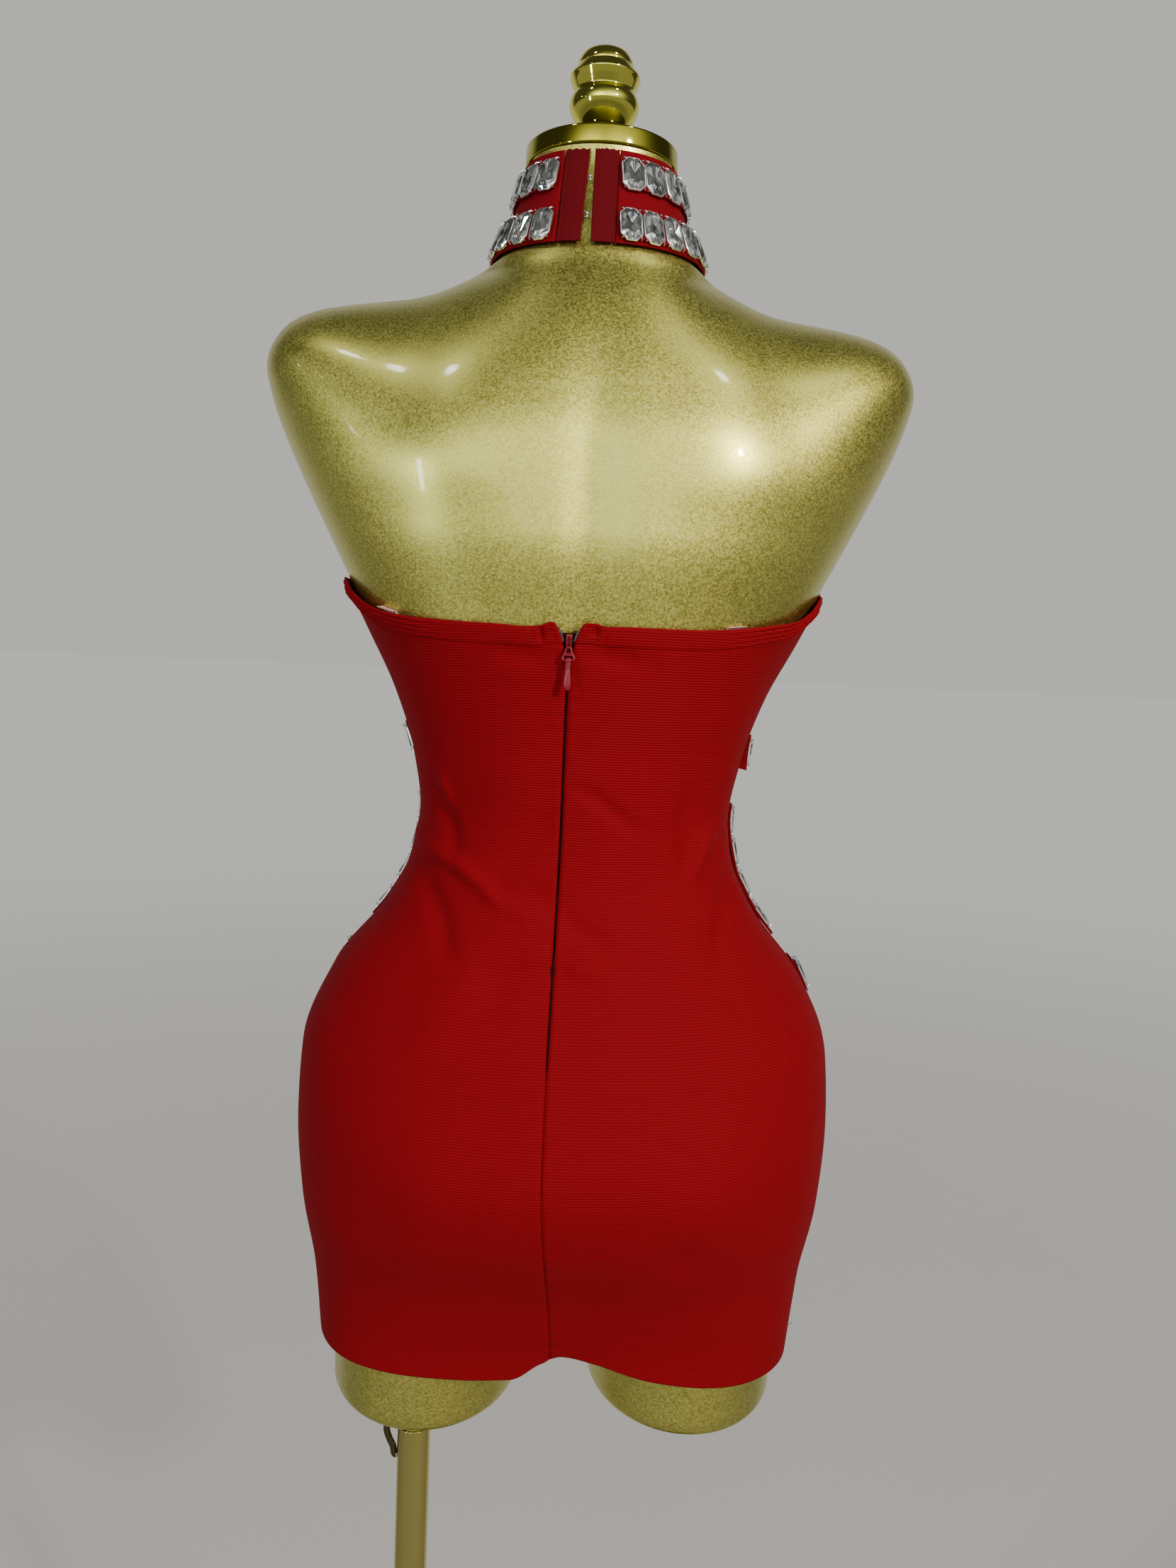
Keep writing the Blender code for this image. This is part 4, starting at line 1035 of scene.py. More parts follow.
def stoneTemplates(short, long):
    stone, setting = bmesh.new(), bmesh.new()
    rings = []
    for inset, dentShare, level in stones["steps"]:
        corner = stones["corner"] - 0.586 * inset
        dent = stones["notch"] * dentShare
        rings.append(octagon(0.5 * short - inset, 0.5 * long - inset, corner, stones["notch"], dent, level))
    stackedRings(stone, rings)
    for vert in stone.verts:
        if vert.co.z > stones["steps"][1][2]:
            vert.co.z += stones["facetJitter"] * math.sin(2.6 * vert.index)
    table = max(stone.faces, key=lambda face: face.calc_center_median().z)
    middle = bmesh.ops.poke(stone, faces=[table])["verts"][0]
    middle.co.z -= stones["star"]
    cup = [octagon(0.5 * short + grow, 0.5 * long + grow, stones["corner"], stones["notch"], 0.0, level)
           for grow, level in stones["cup"]]
    stackedRings(setting, cup)
    reach = 0.29 * stones["corner"]  # to the middle of the cut corner
    for sideX in (-1, 1):
        for sideY in (-1, 1):
            x, y = sideX * (0.5 * short - reach), sideY * (0.5 * long - reach)
            inward = Vector((-sideX, -sideY, 0.0)).normalized()
            foot = Vector((x, y, 0.0002)) - inward * stones["clawOut"]
            claw = [foot + inward * lean + Vector((0.0, 0.0, rise)) for lean, rise in stones["clawPath"]]
            wireInto(setting, claw, stones["claw"], 6)
    bmesh.ops.recalc_face_normals(setting, faces=setting.faces)
    return stone, setting


def stoneStrip(name, node, count, spacing, size, place, upright):
    pitch, width = spacing
    margin = stones["backingMargin"] if upright else 0.0
    width -= margin
    stone, setting = stoneTemplates(*size)
    made = []
    for part in (stone, setting):
        template = bpy.data.meshes.new("template")
        part.to_mesh(template)
        part.free()
        whole = bmesh.new()
        for index in range(count):
            middle = (index - 0.5 * (count - 1)) * pitch
            centre, before, after, below, above = place(
                middle + np.array([0.0, -0.002, 0.002, 0.0, 0.0]), np.array([0.0, 0.0, 0.0, -0.002, 0.002]), 0.0
            )
            along, across = Vector(after - before).normalized(), Vector(above - below).normalized()
            out = along.cross(across).normalized()
            across = out.cross(along)
            x, y = (along, across) if upright else (-across, along)
            turn = Matrix((x, y, out)).transposed()
            wobble = Matrix.Rotation(stones["tilt"] * math.sin(7.3 * index + 1.1 * count), 3, "X")
            wobble = wobble @ Matrix.Rotation(stones["tilt"] * math.sin(4.7 * index + 2.3 * count), 3, "Y")
            start = len(whole.verts)
            whole.from_mesh(template)
            whole.verts.ensure_lookup_table()
            seat = Matrix.Translation(Vector(centre) + out * stones["strip"]) @ (turn @ wobble).to_4x4()
            bmesh.ops.transform(whole, matrix=seat, verts=whole.verts[start:])
        made.append(whole)
        bpy.data.meshes.remove(template)
    # the backing fills the space from the cloth to the settings
    strip = bmesh.new()
    bmesh.ops.create_grid(strip, x_segments=max(4, count * 4), y_segments=4, size=0.5)
    raised = bmesh.ops.extrude_face_region(strip, geom=strip.faces[:], use_keep_orig=True)["geom"]
    raised = [item for item in raised if isinstance(item, bmesh.types.BMVert)]
    bmesh.ops.translate(strip, verts=raised, vec=(0.0, 0.0, 1.0))
    spots = np.array([vert.co for vert in strip.verts])
    length = count * pitch - margin
    along, across = spots[:, 0] * length, spots[:, 1] * width
    upper, lower = place(along, across, stones["strip"]), place(along, across, 0.0, True)
    for vert, above, below in zip(strip.verts, upper, lower):
        vert.co = above if vert.co.z > 0.5 else below
    bmesh.ops.recalc_face_normals(strip, faces=strip.faces)
    layer = strip.loops.layers.uv.new("cloth")
    for face in strip.faces:
        for loop in face.loops:
            loop[layer].uv = (loop.vert.co.x, loop.vert.co.z)
    addPiece(name + "Stones", made[0], crystal, "figure", node, smoothDegrees=0.0)
    addPiece(name + "Settings", made[1], silverPlate, "figure", node, smoothDegrees=35.0)
    backing = addPiece(name + "Backing", strip, collarKnit, "figure", node)


def addCollarStones():
    cloth = figure["gap"] + figure["cloth"] + figure["seam"]
    out = cloth + 0.0011
    reach = collar["tab"] + 0.0015
    for node, (height, count) in collarRows.items():
        level = np.array(height)
        start = float(slitAngle(level, 1, reach))
        end = 2.0 * math.pi + float(slitAngle(level, -1, reach))
        points = bodyPoint(np.full(61, height), np.linspace(start, end, 61), out)
        length = float(np.linalg.norm(np.diff(points, axis=0), axis=1).sum())
        pitch = length / count

        def place(along, across, rise, under=False, height=height, start=start, end=end, length=length):
            angle = end - (end - start) * (np.asarray(along) / length + 0.5)
            away = cloth if under else out + rise
            return bodyPoint(height + np.asarray(across), angle, away + np.zeros_like(angle))

        name = "collarUpper" if "upper" in node else "collarLower"
        size = (pitch - stones["gap"], stones["long"])
        stoneStrip(name, node, count, (pitch, stones["long"] + 0.0006), size, place, True)


def addSideTrims():
    wallOut = figure["gap"] + figure["cloth"] + figure["seam"]
    pitch = trimPlacing["pitch"]
    width = stones["short"] + pitch - stones["long"]
    for side, sideName in ((1, "left"), (-1, "right")):
        middleAngle = side * math.radians(trimPlacing["degrees"]) + figure["twist"]
        for trimName, (middle, count, lift, rightFlare) in sideTrims.items():
            flare = rightFlare if side < 0 else 0.0
            ends = onSurface(np.array([middle + 0.5 * pitch, middle - 0.5 * pitch]), middleAngle)
            slope = float(np.linalg.norm(ends[0] - ends[1])) / pitch
            run = 0.5 * pitch * count
            spot = (middle, slope, run, lift, flare, middleAngle)

            def place(along, across, rise, under=False, spot=spot):
                middle, slope, run, lift, flare, turn = spot
                along, across = np.asarray(along, float), np.asarray(across, float)
                level = middle + along / slope
                angle = turn + across / surfaceRadius(level, turn, True)
                away = 0.0 * along if under else lift + flare * 0.5 * (1.0 - along / run) + rise
                return bodyPoint(level, angle, wallOut + away)

            name = "sideTrim" + sideName.title() + trimName.title()
            node = f"side_trim_{sideName}_{trimName}"
            size = (stones["short"], stones["long"])
            stoneStrip(name, node, count, (pitch, width), size, place, False)


addCollarStones()
addSideTrims()
print("stones set")


# Dress form: one smooth shell with two short thigh stubs
form = {
    "columns": 180,
    "foot": [  # height, share of the full width
        (0.107, 0.42), (0.109, 0.52), (0.112, 0.62), (0.117, 0.72), (0.122, 0.80), (0.131, 0.91), (0.140, 1.0),
    ],
    "top": 0.7589,
    "rows": 150,
    "thighs": np.array([  # height, distance across, half width, half depth
        (-0.002, 0.0838, 0.0605, 0.0750),
        (0.060, 0.0838, 0.0612, 0.0750),
        (0.110, 0.0830, 0.0630, 0.0745),
        (0.170, 0.0800, 0.0640, 0.0720),
    ]),
    "thighEdge": [(-0.0020, -0.0045), (-0.0014, -0.0022), (-0.0002, -0.0009), (0.0020, 0.0)],
    "thighCentre": -0.010,
}


def tubeGrid(columns, heights):
    # a sheet wrapped round so that its two side edges meet
    bm = bmesh.new()
    bmesh.ops.create_grid(bm, x_segments=columns, y_segments=len(heights) - 1, size=0.5)
    grid = np.array([vert.co[:2] for vert in bm.verts])
    turn = 2.0 * math.pi * (0.5 - grid[:, 0])
    row = np.rint((grid[:, 1] + 0.5) * (len(heights) - 1)).astype(int)
    return bm, turn, row


def closeTube(bm, spots):
    for vert, spot in zip(bm.verts, spots):
        vert.co = spot
    bmesh.ops.remove_doubles(bm, verts=bm.verts, dist=1e-6)
    bmesh.ops.holes_fill(bm, edges=[edge for edge in bm.edges if edge.is_boundary], sides=0)
    bmesh.ops.recalc_face_normals(bm, faces=bm.faces)


def addForm():
    rows = max(40, round(form["rows"] * fineness))
    body = np.linspace(0.140, form["top"], rows)[1:]
    foot = np.array(form["foot"])
    heights = np.concatenate([foot[:, 0], body])
    shares = np.concatenate([foot[:, 1], np.ones(len(body))])
    bm, turn, row = tubeGrid(round(form["columns"] * fineness), heights)
    level = np.maximum(heights[row], 0.140)
    spots = onSurface(level, turn, False)
    spots[:, 0] *= shares[row]
    spots[:, 1] *= shares[row]
    spots[:, 2] = figure["floor"] + heights[row]
    closeTube(bm, spots)
    addPiece("formTorso", bm, goldPaint, "figure", "form_body", smoothDegrees=50.0)
    for side, name in ((1, "Left"), (-1, "Right")):
        edge = np.array(form["thighEdge"])
        heights = np.concatenate([edge[:, 0], np.linspace(0.008, 0.165, 20)])
        grow = np.concatenate([edge[:, 1], np.zeros(20)])
        bm, turn, row = tubeGrid(96, heights)
        level = heights[row]
        across, halfWidth, halfDepth = (tableValue(form["thighs"], column, level) for column in (1, 2, 3))
        spots = np.stack([
            side * across + (halfWidth + grow[row]) * np.sin(turn),
            form["thighCentre"] + (halfDepth + grow[row]) * np.cos(turn),
            figure["floor"] + level,
        ], -1)
        closeTube(bm, spots)
        addPiece("thighStub" + name, bm, goldPaint, "figure", "form_body", smoothDegrees=35.0)


addForm()
print("dress form made")


# Neck cap, finial and stand, all turned
turnedParts = {
    "neckAxis": -0.0055,
    "capBottom": 0.7592,
    "capHeight": 0.0108,
    "capRadius": 0.0455,
    "finial": [
        (0.0120, 0.0003), (0.0120, 0.0110), (0.0142, 0.0138), (0.0168, 0.0172), (0.0190, 0.0208),
        (0.0204, 0.0240), (0.0209, 0.0270), (0.0203, 0.0302), (0.0188, 0.0327), (0.0180, 0.0340),
        (0.0186, 0.0358), (0.0199, 0.0390), (0.0207, 0.0413), (0.0210, 0.0423), (0.0207, 0.0432),
        (0.0186, 0.0466), (0.0174, 0.0482), (0.0168, 0.0484), (0.0169, 0.0494), (0.0162, 0.0520),
        (0.0143, 0.0551), (0.0108, 0.0575), (0.0060, 0.0587), (0.0000, 0.0590),
    ],
    "pole": (0.0915, -0.010),
    "tube": 0.0111,
    "tubeWall": 0.0010,
    "tubeTop": 0.6730,
    "rod": 0.0098,
    "rodSpan": (0.3600, 0.8900),
    "plate": (0.2100, 0.0080),
    "flange": [(0.0116, 0.0), (0.034, 0.0), (0.034, 0.004), (0.020, 0.008), (0.0165, 0.028), (0.0116, 0.028)],
}


def addTurned():
    spec = turnedParts
    centre = (0.0, spec["neckAxis"])
    bottom = figure["floor"] + spec["capBottom"]
    radius, tall = spec["capRadius"], spec["capHeight"]
    outline = [(0.0, 0.0), (radius, 0.0), (radius, tall), (0.0, tall)]
    cap = turnedMesh(roundedProfile(outline, 0.0014), centre, bottom, 96)
    addPiece("neckCap", cap, gold, "figure", "neck_cap", smoothDegrees=50.0)
    curve = [(point.x, point.y) for point in splinePoints([(*pair, 0.0) for pair in spec["finial"]], 4)]
    outline = [(0.0, spec["finial"][0][1]), *[(max(r, 0.0), z) for r, z in curve[:-1]], (0.0, curve[-1][1])]
    finial = turnedMesh(outline, centre, bottom + tall, 96)
    addPiece("finial", finial, finialGoldPaintedLight, "figure", "finial", smoothDegrees=60.0)
    plateRadius, plateHeight = spec["plate"]
    outline = [(0.0, 0.0), (plateRadius, 0.0), (plateRadius, plateHeight), (0.0, plateHeight)]
    plate = turnedMesh(roundedProfile(outline, 0.0022), (0.0, 0.0), 0.0, 128)
    addPiece("basePlate", plate, gold, "stand", "base_plate", smoothDegrees=50.0)
    rise = plateHeight + figure["seam"]
    flange = turnedMesh(roundedProfile(spec["flange"] + [spec["flange"][0]], 0.0012), spec["pole"], rise, 64)
    addPiece("baseFlange", flange, gold, "stand", "base_flange", smoothDegrees=50.0)
    inner, outer, length = spec["tube"] - spec["tubeWall"], spec["tube"], spec["tubeTop"] - rise
    outline = [(inner, 0.0), (outer, 0.0), (outer, length), (inner, length), (inner, 0.0)]
    tube = turnedMesh(roundedProfile(outline, 0.0004), spec["pole"], rise, 64)
    addPiece("standTube", tube, tubeGoldPaintedLight, "stand", "stand_tube", smoothDegrees=50.0)
    low, high = spec["rodSpan"]
    outline = [(0.0, 0.0), (spec["rod"], 0.0), (spec["rod"], high - low), (0.0, high - low)]
    rod = turnedMesh(roundedProfile(outline, 0.0006), spec["pole"], low, 64)
    addPiece("standRod", rod, tubeGoldPaintedLight, "rod", "stand_rod", smoothDegrees=50.0)


addTurned()

# Clamp: a bent thumb lever on a short screw block
clamp = {
    "height": 0.650,
    "wire": 0.0023,
    "path": [  # away from the tube, up
        (0.0000, 0.0000), (0.0016, 0.0008), (0.0026, 0.0060),
        (0.0054, 0.0124), (0.0070, 0.0185), (0.0064, 0.0270),
    ],
}


def addClamp():
    startX = turnedParts["pole"][0] + turnedParts["tube"] + figure["seam"]
    path = [(startX + away, turnedParts["pole"][1], clamp["height"] + rise) for away, rise in clamp["path"]]
    bm = wireMesh(splinePoints(path, 5), clamp["wire"], 14)
    addPiece("clampLever", bm, darkNickel, "clamp", "clamp_screw", smoothDegrees=50.0)


addClamp()
print("stand made")


# Zip: woven tape, nylon coil, slider with two raised rails, ring and petal-shaped drop
zipper = {
    "bottom": 0.236,
    "tape": 0.022,
    "tapeWall": 0.0005,
    "tapeColumns": 16,
    "tapeRows": 90,
    "setBack": 0.0060,
    "sliderFoot": 0.4765,
    "sliderHeight": 0.0082,
    "sliderWidth": 0.0037,
    "sliderDepth": 0.0022,
    "rail": 0.00062,
    "bailWire": 0.00035,
    "bailReach": 0.0020,
    "bailHeight": 0.0013,
    "ringHeight": 0.0068,
    "ringTop": 0.0011,
    "ringHalf": 0.0033,
    "ringWire": 0.00062,
    "dropLength": 0.0168,
    "dropWidth": 0.0039,
    "dropDepth": 0.0014,
    "coilTop": 0.4885,
    "coilWire": 0.00026,
    "coilRadius": 0.00055,
    "coilPitch": 0.00095,
}


def tapeOut(height, angle, radius, edges):
    return np.full_like(height, figure["gap"] - 2.0 * figure["seam"])


tape = clothPanel(
    "zipTape", zipper["tapeColumns"], zipper["tapeRows"], levelEdge(zipper["bottom"]),
    lambda angle: backTopAt(angle) - zipper["setBack"],
    lambda height: angleAcross(height, seamOffset(height) - 0.5 * zipper["tape"]),
    lambda height: angleAcross(height, seamOffset(height) + 0.5 * zipper["tape"]),
    tapeOut, tapeWeavePaintedShade, "figure", "zip_tape", zipper["tapeWall"],
)


def sliderFrame():
    low = np.array(zipper["sliderFoot"])
    high = low + zipper["sliderHeight"]
    foot, top = (
        Vector(bodyPoint(level, angleAcross(level, seamOffset(level)), figure["gap"])) for level in (low, high)
    )
    along = (top - foot).normalized()
    across = Vector((1.0, 0.0, 0.0))
    return across, along.cross(across).normalized(), along, foot


def ringPivot():
    _, out, along, foot = sliderFrame()
    reach = zipper["sliderDepth"] + 0.5 * (zipper["bailReach"] - zipper["bailWire"])
    return foot + out * reach + along * zipper["bailHeight"]


def addSlider():
    across, out, along, foot = sliderFrame()
    spec = zipper
    bm = bmesh.new()
    made = bmesh.ops.create_cube(bm, size=1.0)["verts"]
    for vert in made:
        vert.co.x *= spec["sliderWidth"] * (1.0 if vert.co.z > 0.0 else 0.82)
        vert.co.y = (vert.co.y + 0.5) * 0.45 * spec["sliderDepth"] + 0.0001
        vert.co.z = (vert.co.z + 0.5) * spec["sliderHeight"]
    bmesh.ops.bevel(bm, geom=bm.edges[:], offset=0.0004, segments=3, profile=0.5, material=-1, affect="EDGES")
    rise, half = 0.62 * spec["sliderDepth"], 0.28 * spec["sliderWidth"]
    tall = spec["sliderHeight"] - 1.1 * spec["rail"]
    leftRail = [
        (-0.9 * half, rise, 0.0006), (-half, rise + 0.0003, 0.0024),
        (-1.1 * half, rise + 0.0003, 0.72 * tall), (-0.8 * half, rise + 0.0002, 0.94 * tall),
    ]
    rightRail = [(-x, y, z) for x, y, z in reversed(leftRail)]
    rails = [*leftRail, (0.0, rise, tall), *rightRail]
    wireInto(bm, splinePoints(rails, 4), spec["rail"], 10)
    bail = []
    for index in range(13):
        turn = math.pi * index / 12
        level = spec["bailHeight"] - 0.55 * spec["bailReach"] * math.cos(turn)
        bail.append((0.0, spec["sliderDepth"] - 0.0003 + (spec["bailReach"] + 0.0003) * math.sin(turn), level))
    wireInto(bm, bail, spec["bailWire"] * 1.15, 8)
    bmesh.ops.recalc_face_normals(bm, faces=bm.faces)
    turn = Matrix((across, out, along)).transposed().to_4x4()
    bmesh.ops.transform(bm, matrix=Matrix.Translation(foot) @ turn, verts=bm.verts)
    bmesh.ops.recalc_face_normals(bm, faces=bm.faces)
    addPiece("zipSlider", bm, enamel, "figure", "zip_slider", smoothDegrees=50.0)


def addPull():
    spec = zipper
    top = ringPivot()
    tall, half, narrow = spec["ringHeight"], spec["ringHalf"], spec["ringTop"]
    flank = [
        (narrow, -0.0003), (0.62 * half, -0.48 * tall), (0.97 * half, -0.80 * tall), (0.86 * half, -0.97 * tall),
    ]
    outline = [(0.0, 0.0003), *flank, (0.0, -tall), *[(-x, z) for x, z in reversed(flank)]]
    bm = bmesh.new()
    path = [(x, 0.0, z) for x, z in outline]
    wireInto(bm, splinePoints(path, 5, closed=True), spec["ringWire"], 10, closed=True)
    bar = [(-0.60 * half, 0.0, -0.50 * tall), (0.0, 0.0001, -0.47 * tall), (0.60 * half, 0.0, -0.50 * tall)]
    wireInto(bm, splinePoints(bar, 4), 0.9 * spec["ringWire"], 10)
    lower = [(-0.66 * half, 0.0, -0.60 * tall), (0.0, 0.0, -0.62 * tall), (0.66 * half, 0.0, -0.60 * tall)]
    wireInto(bm, splinePoints(lower, 4), 0.75 * spec["ringWire"], 10)
    bmesh.ops.recalc_face_normals(bm, faces=bm.faces)
    bmesh.ops.translate(bm, verts=bm.verts, vec=top)
    addPiece("pullRing", bm, enamel, "ring", "pull_ring", smoothDegrees=50.0)

    pivot = top + Vector((0.0, 0.0, -tall))
    bm = bmesh.new()
    turns = np.linspace(0.0, 2.0 * math.pi, 17)[:-1]
    eye = [(0.0, 0.0012 * math.sin(turn), 0.0012 * math.cos(turn)) for turn in turns]
    wireInto(bm, eye, 0.00034, 8, closed=True)
    for vert in bm.verts:
        vert.co.x *= 3.6
    # two ridges down the neck, from the eye to the blade
    for side in (-1, 1):
        ridge = [(0.00085, 0.0009, 0.0), (0.00095, 0.0008, -0.0022), (0.0008, 0.0006, -0.0048)]
        ridge = [(side * x, y, z) for x, y, z in ridge]
        wireInto(bm, splinePoints(ridge, 4), 0.00062, 8)
    neck = bmesh.ops.create_cube(bm, size=1.0)["verts"]
    for vert in neck:
        vert.co = Vector((vert.co.x * 0.0027, vert.co.y * 0.0010 + 0.0003, vert.co.z * 0.0036 - 0.0031))
    bladeTop = -0.0041
    bladeLength = spec["dropLength"] + bladeTop
    blade = bmesh.ops.create_uvsphere(bm, u_segments=32, v_segments=20, radius=1.0)["verts"]
    for vert in blade:
        down = 0.5 - 0.5 * vert.co.z
        wide = 0.74 + 0.30 * math.sin(math.pi * min(1.0, down * 0.82) ** 1.6)
        ring = math.sqrt(max(0.0, 1.0 - vert.co.z ** 2)) + 1e-9
        full = (1.0 - min(1.0, abs(2.0 * down - 1.0)) ** (5.0 if down > 0.5 else 9.0)) ** 0.5
        vert.co = Vector((
            0.5 * spec["dropWidth"] * wide * full * vert.co.x / ring,
            0.5 * spec["dropDepth"] * full * vert.co.y / ring,
            bladeTop - bladeLength * down,
        ))
    bmesh.ops.remove_doubles(bm, verts=blade, dist=1e-6)
    bmesh.ops.recalc_face_normals(bm, faces=bm.faces)
    bmesh.ops.translate(bm, verts=bm.verts, vec=pivot)
    addPiece("pullDrop", bm, enamel, "drop", "pull_drop", smoothDegrees=50.0)


def addCoil():
    # the coil runs behind the seam and turns outwards with the opening above the slider
    bm = bmesh.new()
    low, high = zipper["sliderFoot"] + 0.004, zipper["coilTop"]
    steps = round((high - low) / zipper["coilPitch"] * 8)
    share = np.linspace(0.0, 1.0, steps)
    height = low + (high - low) * share
    opening = tableValue(zipOpening, 1, height)
    turn = 2.0 * math.pi * share * (high - low) / zipper["coilPitch"]
    wiggle = zipper["coilRadius"]
    loops = np.stack([wiggle * np.sin(turn), 0.7 * wiggle * np.cos(turn), 0.0 * turn], -1)
    for side in (-1, 1):
        angle = angleAcross(height, seamOffset(height) + side * (opening - 0.0004))
        spots = bodyPoint(height, angle, figure["gap"] + 0.0006)
        wireInto(bm, spots + loops, zipper["coilWire"], 6)
    bmesh.ops.recalc_face_normals(bm, faces=bm.faces)
    addPiece("zipCoil", bm, coilNylon, "figure", "zip_tape", smoothDegrees=50.0)


addSlider()
addPull()
addCoil()
print("zip made")


# Collar hooks and eyes
fastening = {"heights": {"upper": 0.7385, "lower": 0.7155}, "wire": 0.0003, "rise": 0.0013}


def addFastenings():
    wire, rise = fastening["wire"], fastening["rise"]
    seat, over = figure["seam"] + wire, 2.0 * wire + figure["seam"]
    for name, height in fastening["heights"].items():
        level = np.array(height)
        middleOut = figure["gap"] + 0.5 * figure["cloth"]
        left, right = (Vector(bodyPoint(level, slitAngle(level, side), middleOut)) for side in (1, -1))
        barX, y, z = 0.5 * (left.x + right.x) + 0.0002, 0.5 * (left.y + right.y), left.z
        eye = [(left.x - seat, y, z + rise), (barX + 0.0002, y, z + rise), (barX, y, z + rise - 0.0002),
               (barX, y, z - rise + 0.0002), (barX + 0.0002, y, z - rise), (left.x - seat, y, z - rise)]
        hook = [(right.x + seat, y + over, z), (barX + 0.0004, y + over, z), (barX + over, y, z),
                (barX + 0.0004, y - over, z), (barX - 0.0004, y - over, z)]
        bm = wireMesh(splinePoints(eye, 4), wire, 8)
        addPiece("eye" + name.title(), bm, silverPlate, "figure", "eye_" + name)
        bm = wireMesh(splinePoints(hook, 4), wire, 8)
        addPiece("hook" + name.title(), bm, silverPlate, "figure", "hook_" + name)


addFastenings()


# Hanger tapes that peep out above the top edge
tapeBars = {
    "left": 66.0,  # degrees round the figure
    "right": -50.5,
    "width": 0.0100,
    "rise": 0.0008,
    "hidden": 0.030,
    "wall": 0.0005,
    "columns": 10,
    "rows": 24,
}


def tapeBarOut(height, angle, radius, edges):
    # flat against the figure, then out over the top edge
    inner = figure["seam"] + tapeBars["wall"]
    lip = 0.8 * panels["lip"] * softStep(48.0, 80.0, degreesAside(angle))
    outer = figure["gap"] + figure["cloth"] + lip
    over = softStep(0.0001, 0.0006, height - backTopAt(angle))
    return inner + (outer - inner) * over


def addHangerTape(side):
    middle = math.radians(tapeBars[side])
    top = float(backTopAt(np.array(middle)))
    half = 0.5 * tapeBars["width"] / float(surfaceRadius(top, middle, True))
    return clothPanel(
        "hangerTape" + side.title(), tapeBars["columns"], tapeBars["rows"], levelEdge(top - tapeBars["hidden"]),
        lambda angle: backTopAt(angle) + tapeBars["rise"],
        lambda height: np.full_like(height, middle - half), lambda height: np.full_like(height, middle + half),
        tapeBarOut, elastic, "figure", "hanger_tape_" + side, tapeBars["wall"],
    )


tapeLeft, tapeRight = addHangerTape("left"), addHangerTape("right")
print("fastenings and tapes made")


# Loose threads
looseThreads = {  # degrees round, height, path
    "hem": (-80.0, 0.0505, [
        (0.0010, 0.0, -0.0006), (-0.0008, 0.0002, -0.0004), (-0.0019, 0.0, 0.0001), (-0.0030, 0.0, 0.0012),
    ]),
    "waist": (81.0, 0.3585, [
        (-0.0006, 0.0, 0.0), (0.0009, 0.0, 0.0001), (0.0017, 0.0, 0.0010), (0.0017, 0.0, 0.0022),
        (0.0010, 0.0, 0.0031), (-0.0006, 0.0, 0.0033),
    ]),
}
threadRadius = 0.00018


def addThreads():
    for name, (degrees, height, path) in looseThreads.items():
        root = Vector(bodyPoint(np.array(height), math.radians(degrees), figure["gap"] + figure["cloth"]))
        bm = wireMesh(splinePoints([root + Vector(point) for point in path], 6), threadRadius, 6)
        addPiece(name + "Thread", bm, thread, "figure")


addThreads()

# The flat cuts, areas and supporting parts of the cloth pieces, listed; the loop only turns each support into a
# list
for piece, flat, area, restsOn in (
    (front, (0.46, 0.655), 0.200, ["form_body"]),
    (backLeft, (0.235, 0.455), 0.090, ["form_body"]),
    (backRight, (0.235, 0.455), 0.090, ["form_body"]),
    (collarBand, (0.315, 0.0567), None, ["form_body"]),
    (collarTabLeft, (0.013, 0.0567), None, ["form_body"]),
    (collarTabRight, (0.013, 0.0567), None, ["form_body"]),
    (tape, (0.022, 0.252), None, ["form_body"]),
    (tapeLeft, (0.0100, 0.0325), None, ["form_body"]),
    (tapeRight, (0.0100, 0.0325), None, ["form_body"]),
):
    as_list(restsOn)


# Floor and studio light. A lamp's way is its azimuth towards the wearer's left from
# behind, and its elevation, seen from the shoulder blades.
studio = {
    "floor": ("#9C9995", "#A29F9B"),
    "floorPaintedGlow": (0.50, 1.0),  # near and far strength of the floor's painted glow: it melts into the air about 6 m away
    # painted light: the floor's glow colour beside and behind the camera, dark near the figure as painted shade
    # and paler far off
    "floorPaintedLightBeside": ("#3A3A37", "#8F8E88"),
    "wall": "#C4C3BE",
    "shade": "#454440",
    "glows": [  # azimuth, elevation, sharpness, strength
        (-2.0, 8.0, 8.0, 1.00),
        (-20.0, 10.0, 30.0, 1.35),
        (17.0, 2.0, 24.0, 2.30),
        (-42.0, 20.0, 14.0, 0.90),
        (28.0, 8.0, 18.0, 0.95),
    ],
    "glowTint": (1.0, 1.0, 0.92),
    "lamps": [  # name, azimuth, elevation, distance, width, height, watts, colour
        ("key", -38.0, 19.0, 2.3, 0.16, 0.16, 42.0, "#FFF3E6"),
        ("window", 51.0, -3.0, 2.2, 0.09, 0.62, 10.0, "#F6FBFF"),
        ("ceilingLeft", 58.0, 53.0, 2.3, 0.16, 0.16, 4.0, "#FFFFFF"),
        ("ceilingRight", -52.0, 54.0, 2.3, 0.16, 0.16, 4.0, "#FFFFFF"),
        ("lampFar", 80.0, 14.0, 2.6, 0.07, 0.07, 0.5, "#FFFFFF"),
        ("lampNear", 66.0, 9.0, 2.6, 0.07, 0.07, 0.5, "#FFFFFF"),
    ],
    "lampAim": (0.0, 0.08, 1.31),
}


def airFade(tree, way):
    # 0 beyond the figure, 1 at the sides and behind the camera
    depth = addNode(tree, "ShaderNodeSeparateXYZ", {0: way}).outputs[1]
    fade = {"interpolation_type": "SMOOTHSTEP", "From Min": -0.72, "From Max": -0.36, "Value": depth}
    return addNode(tree, "ShaderNodeMapRange", fade).outputs[0]


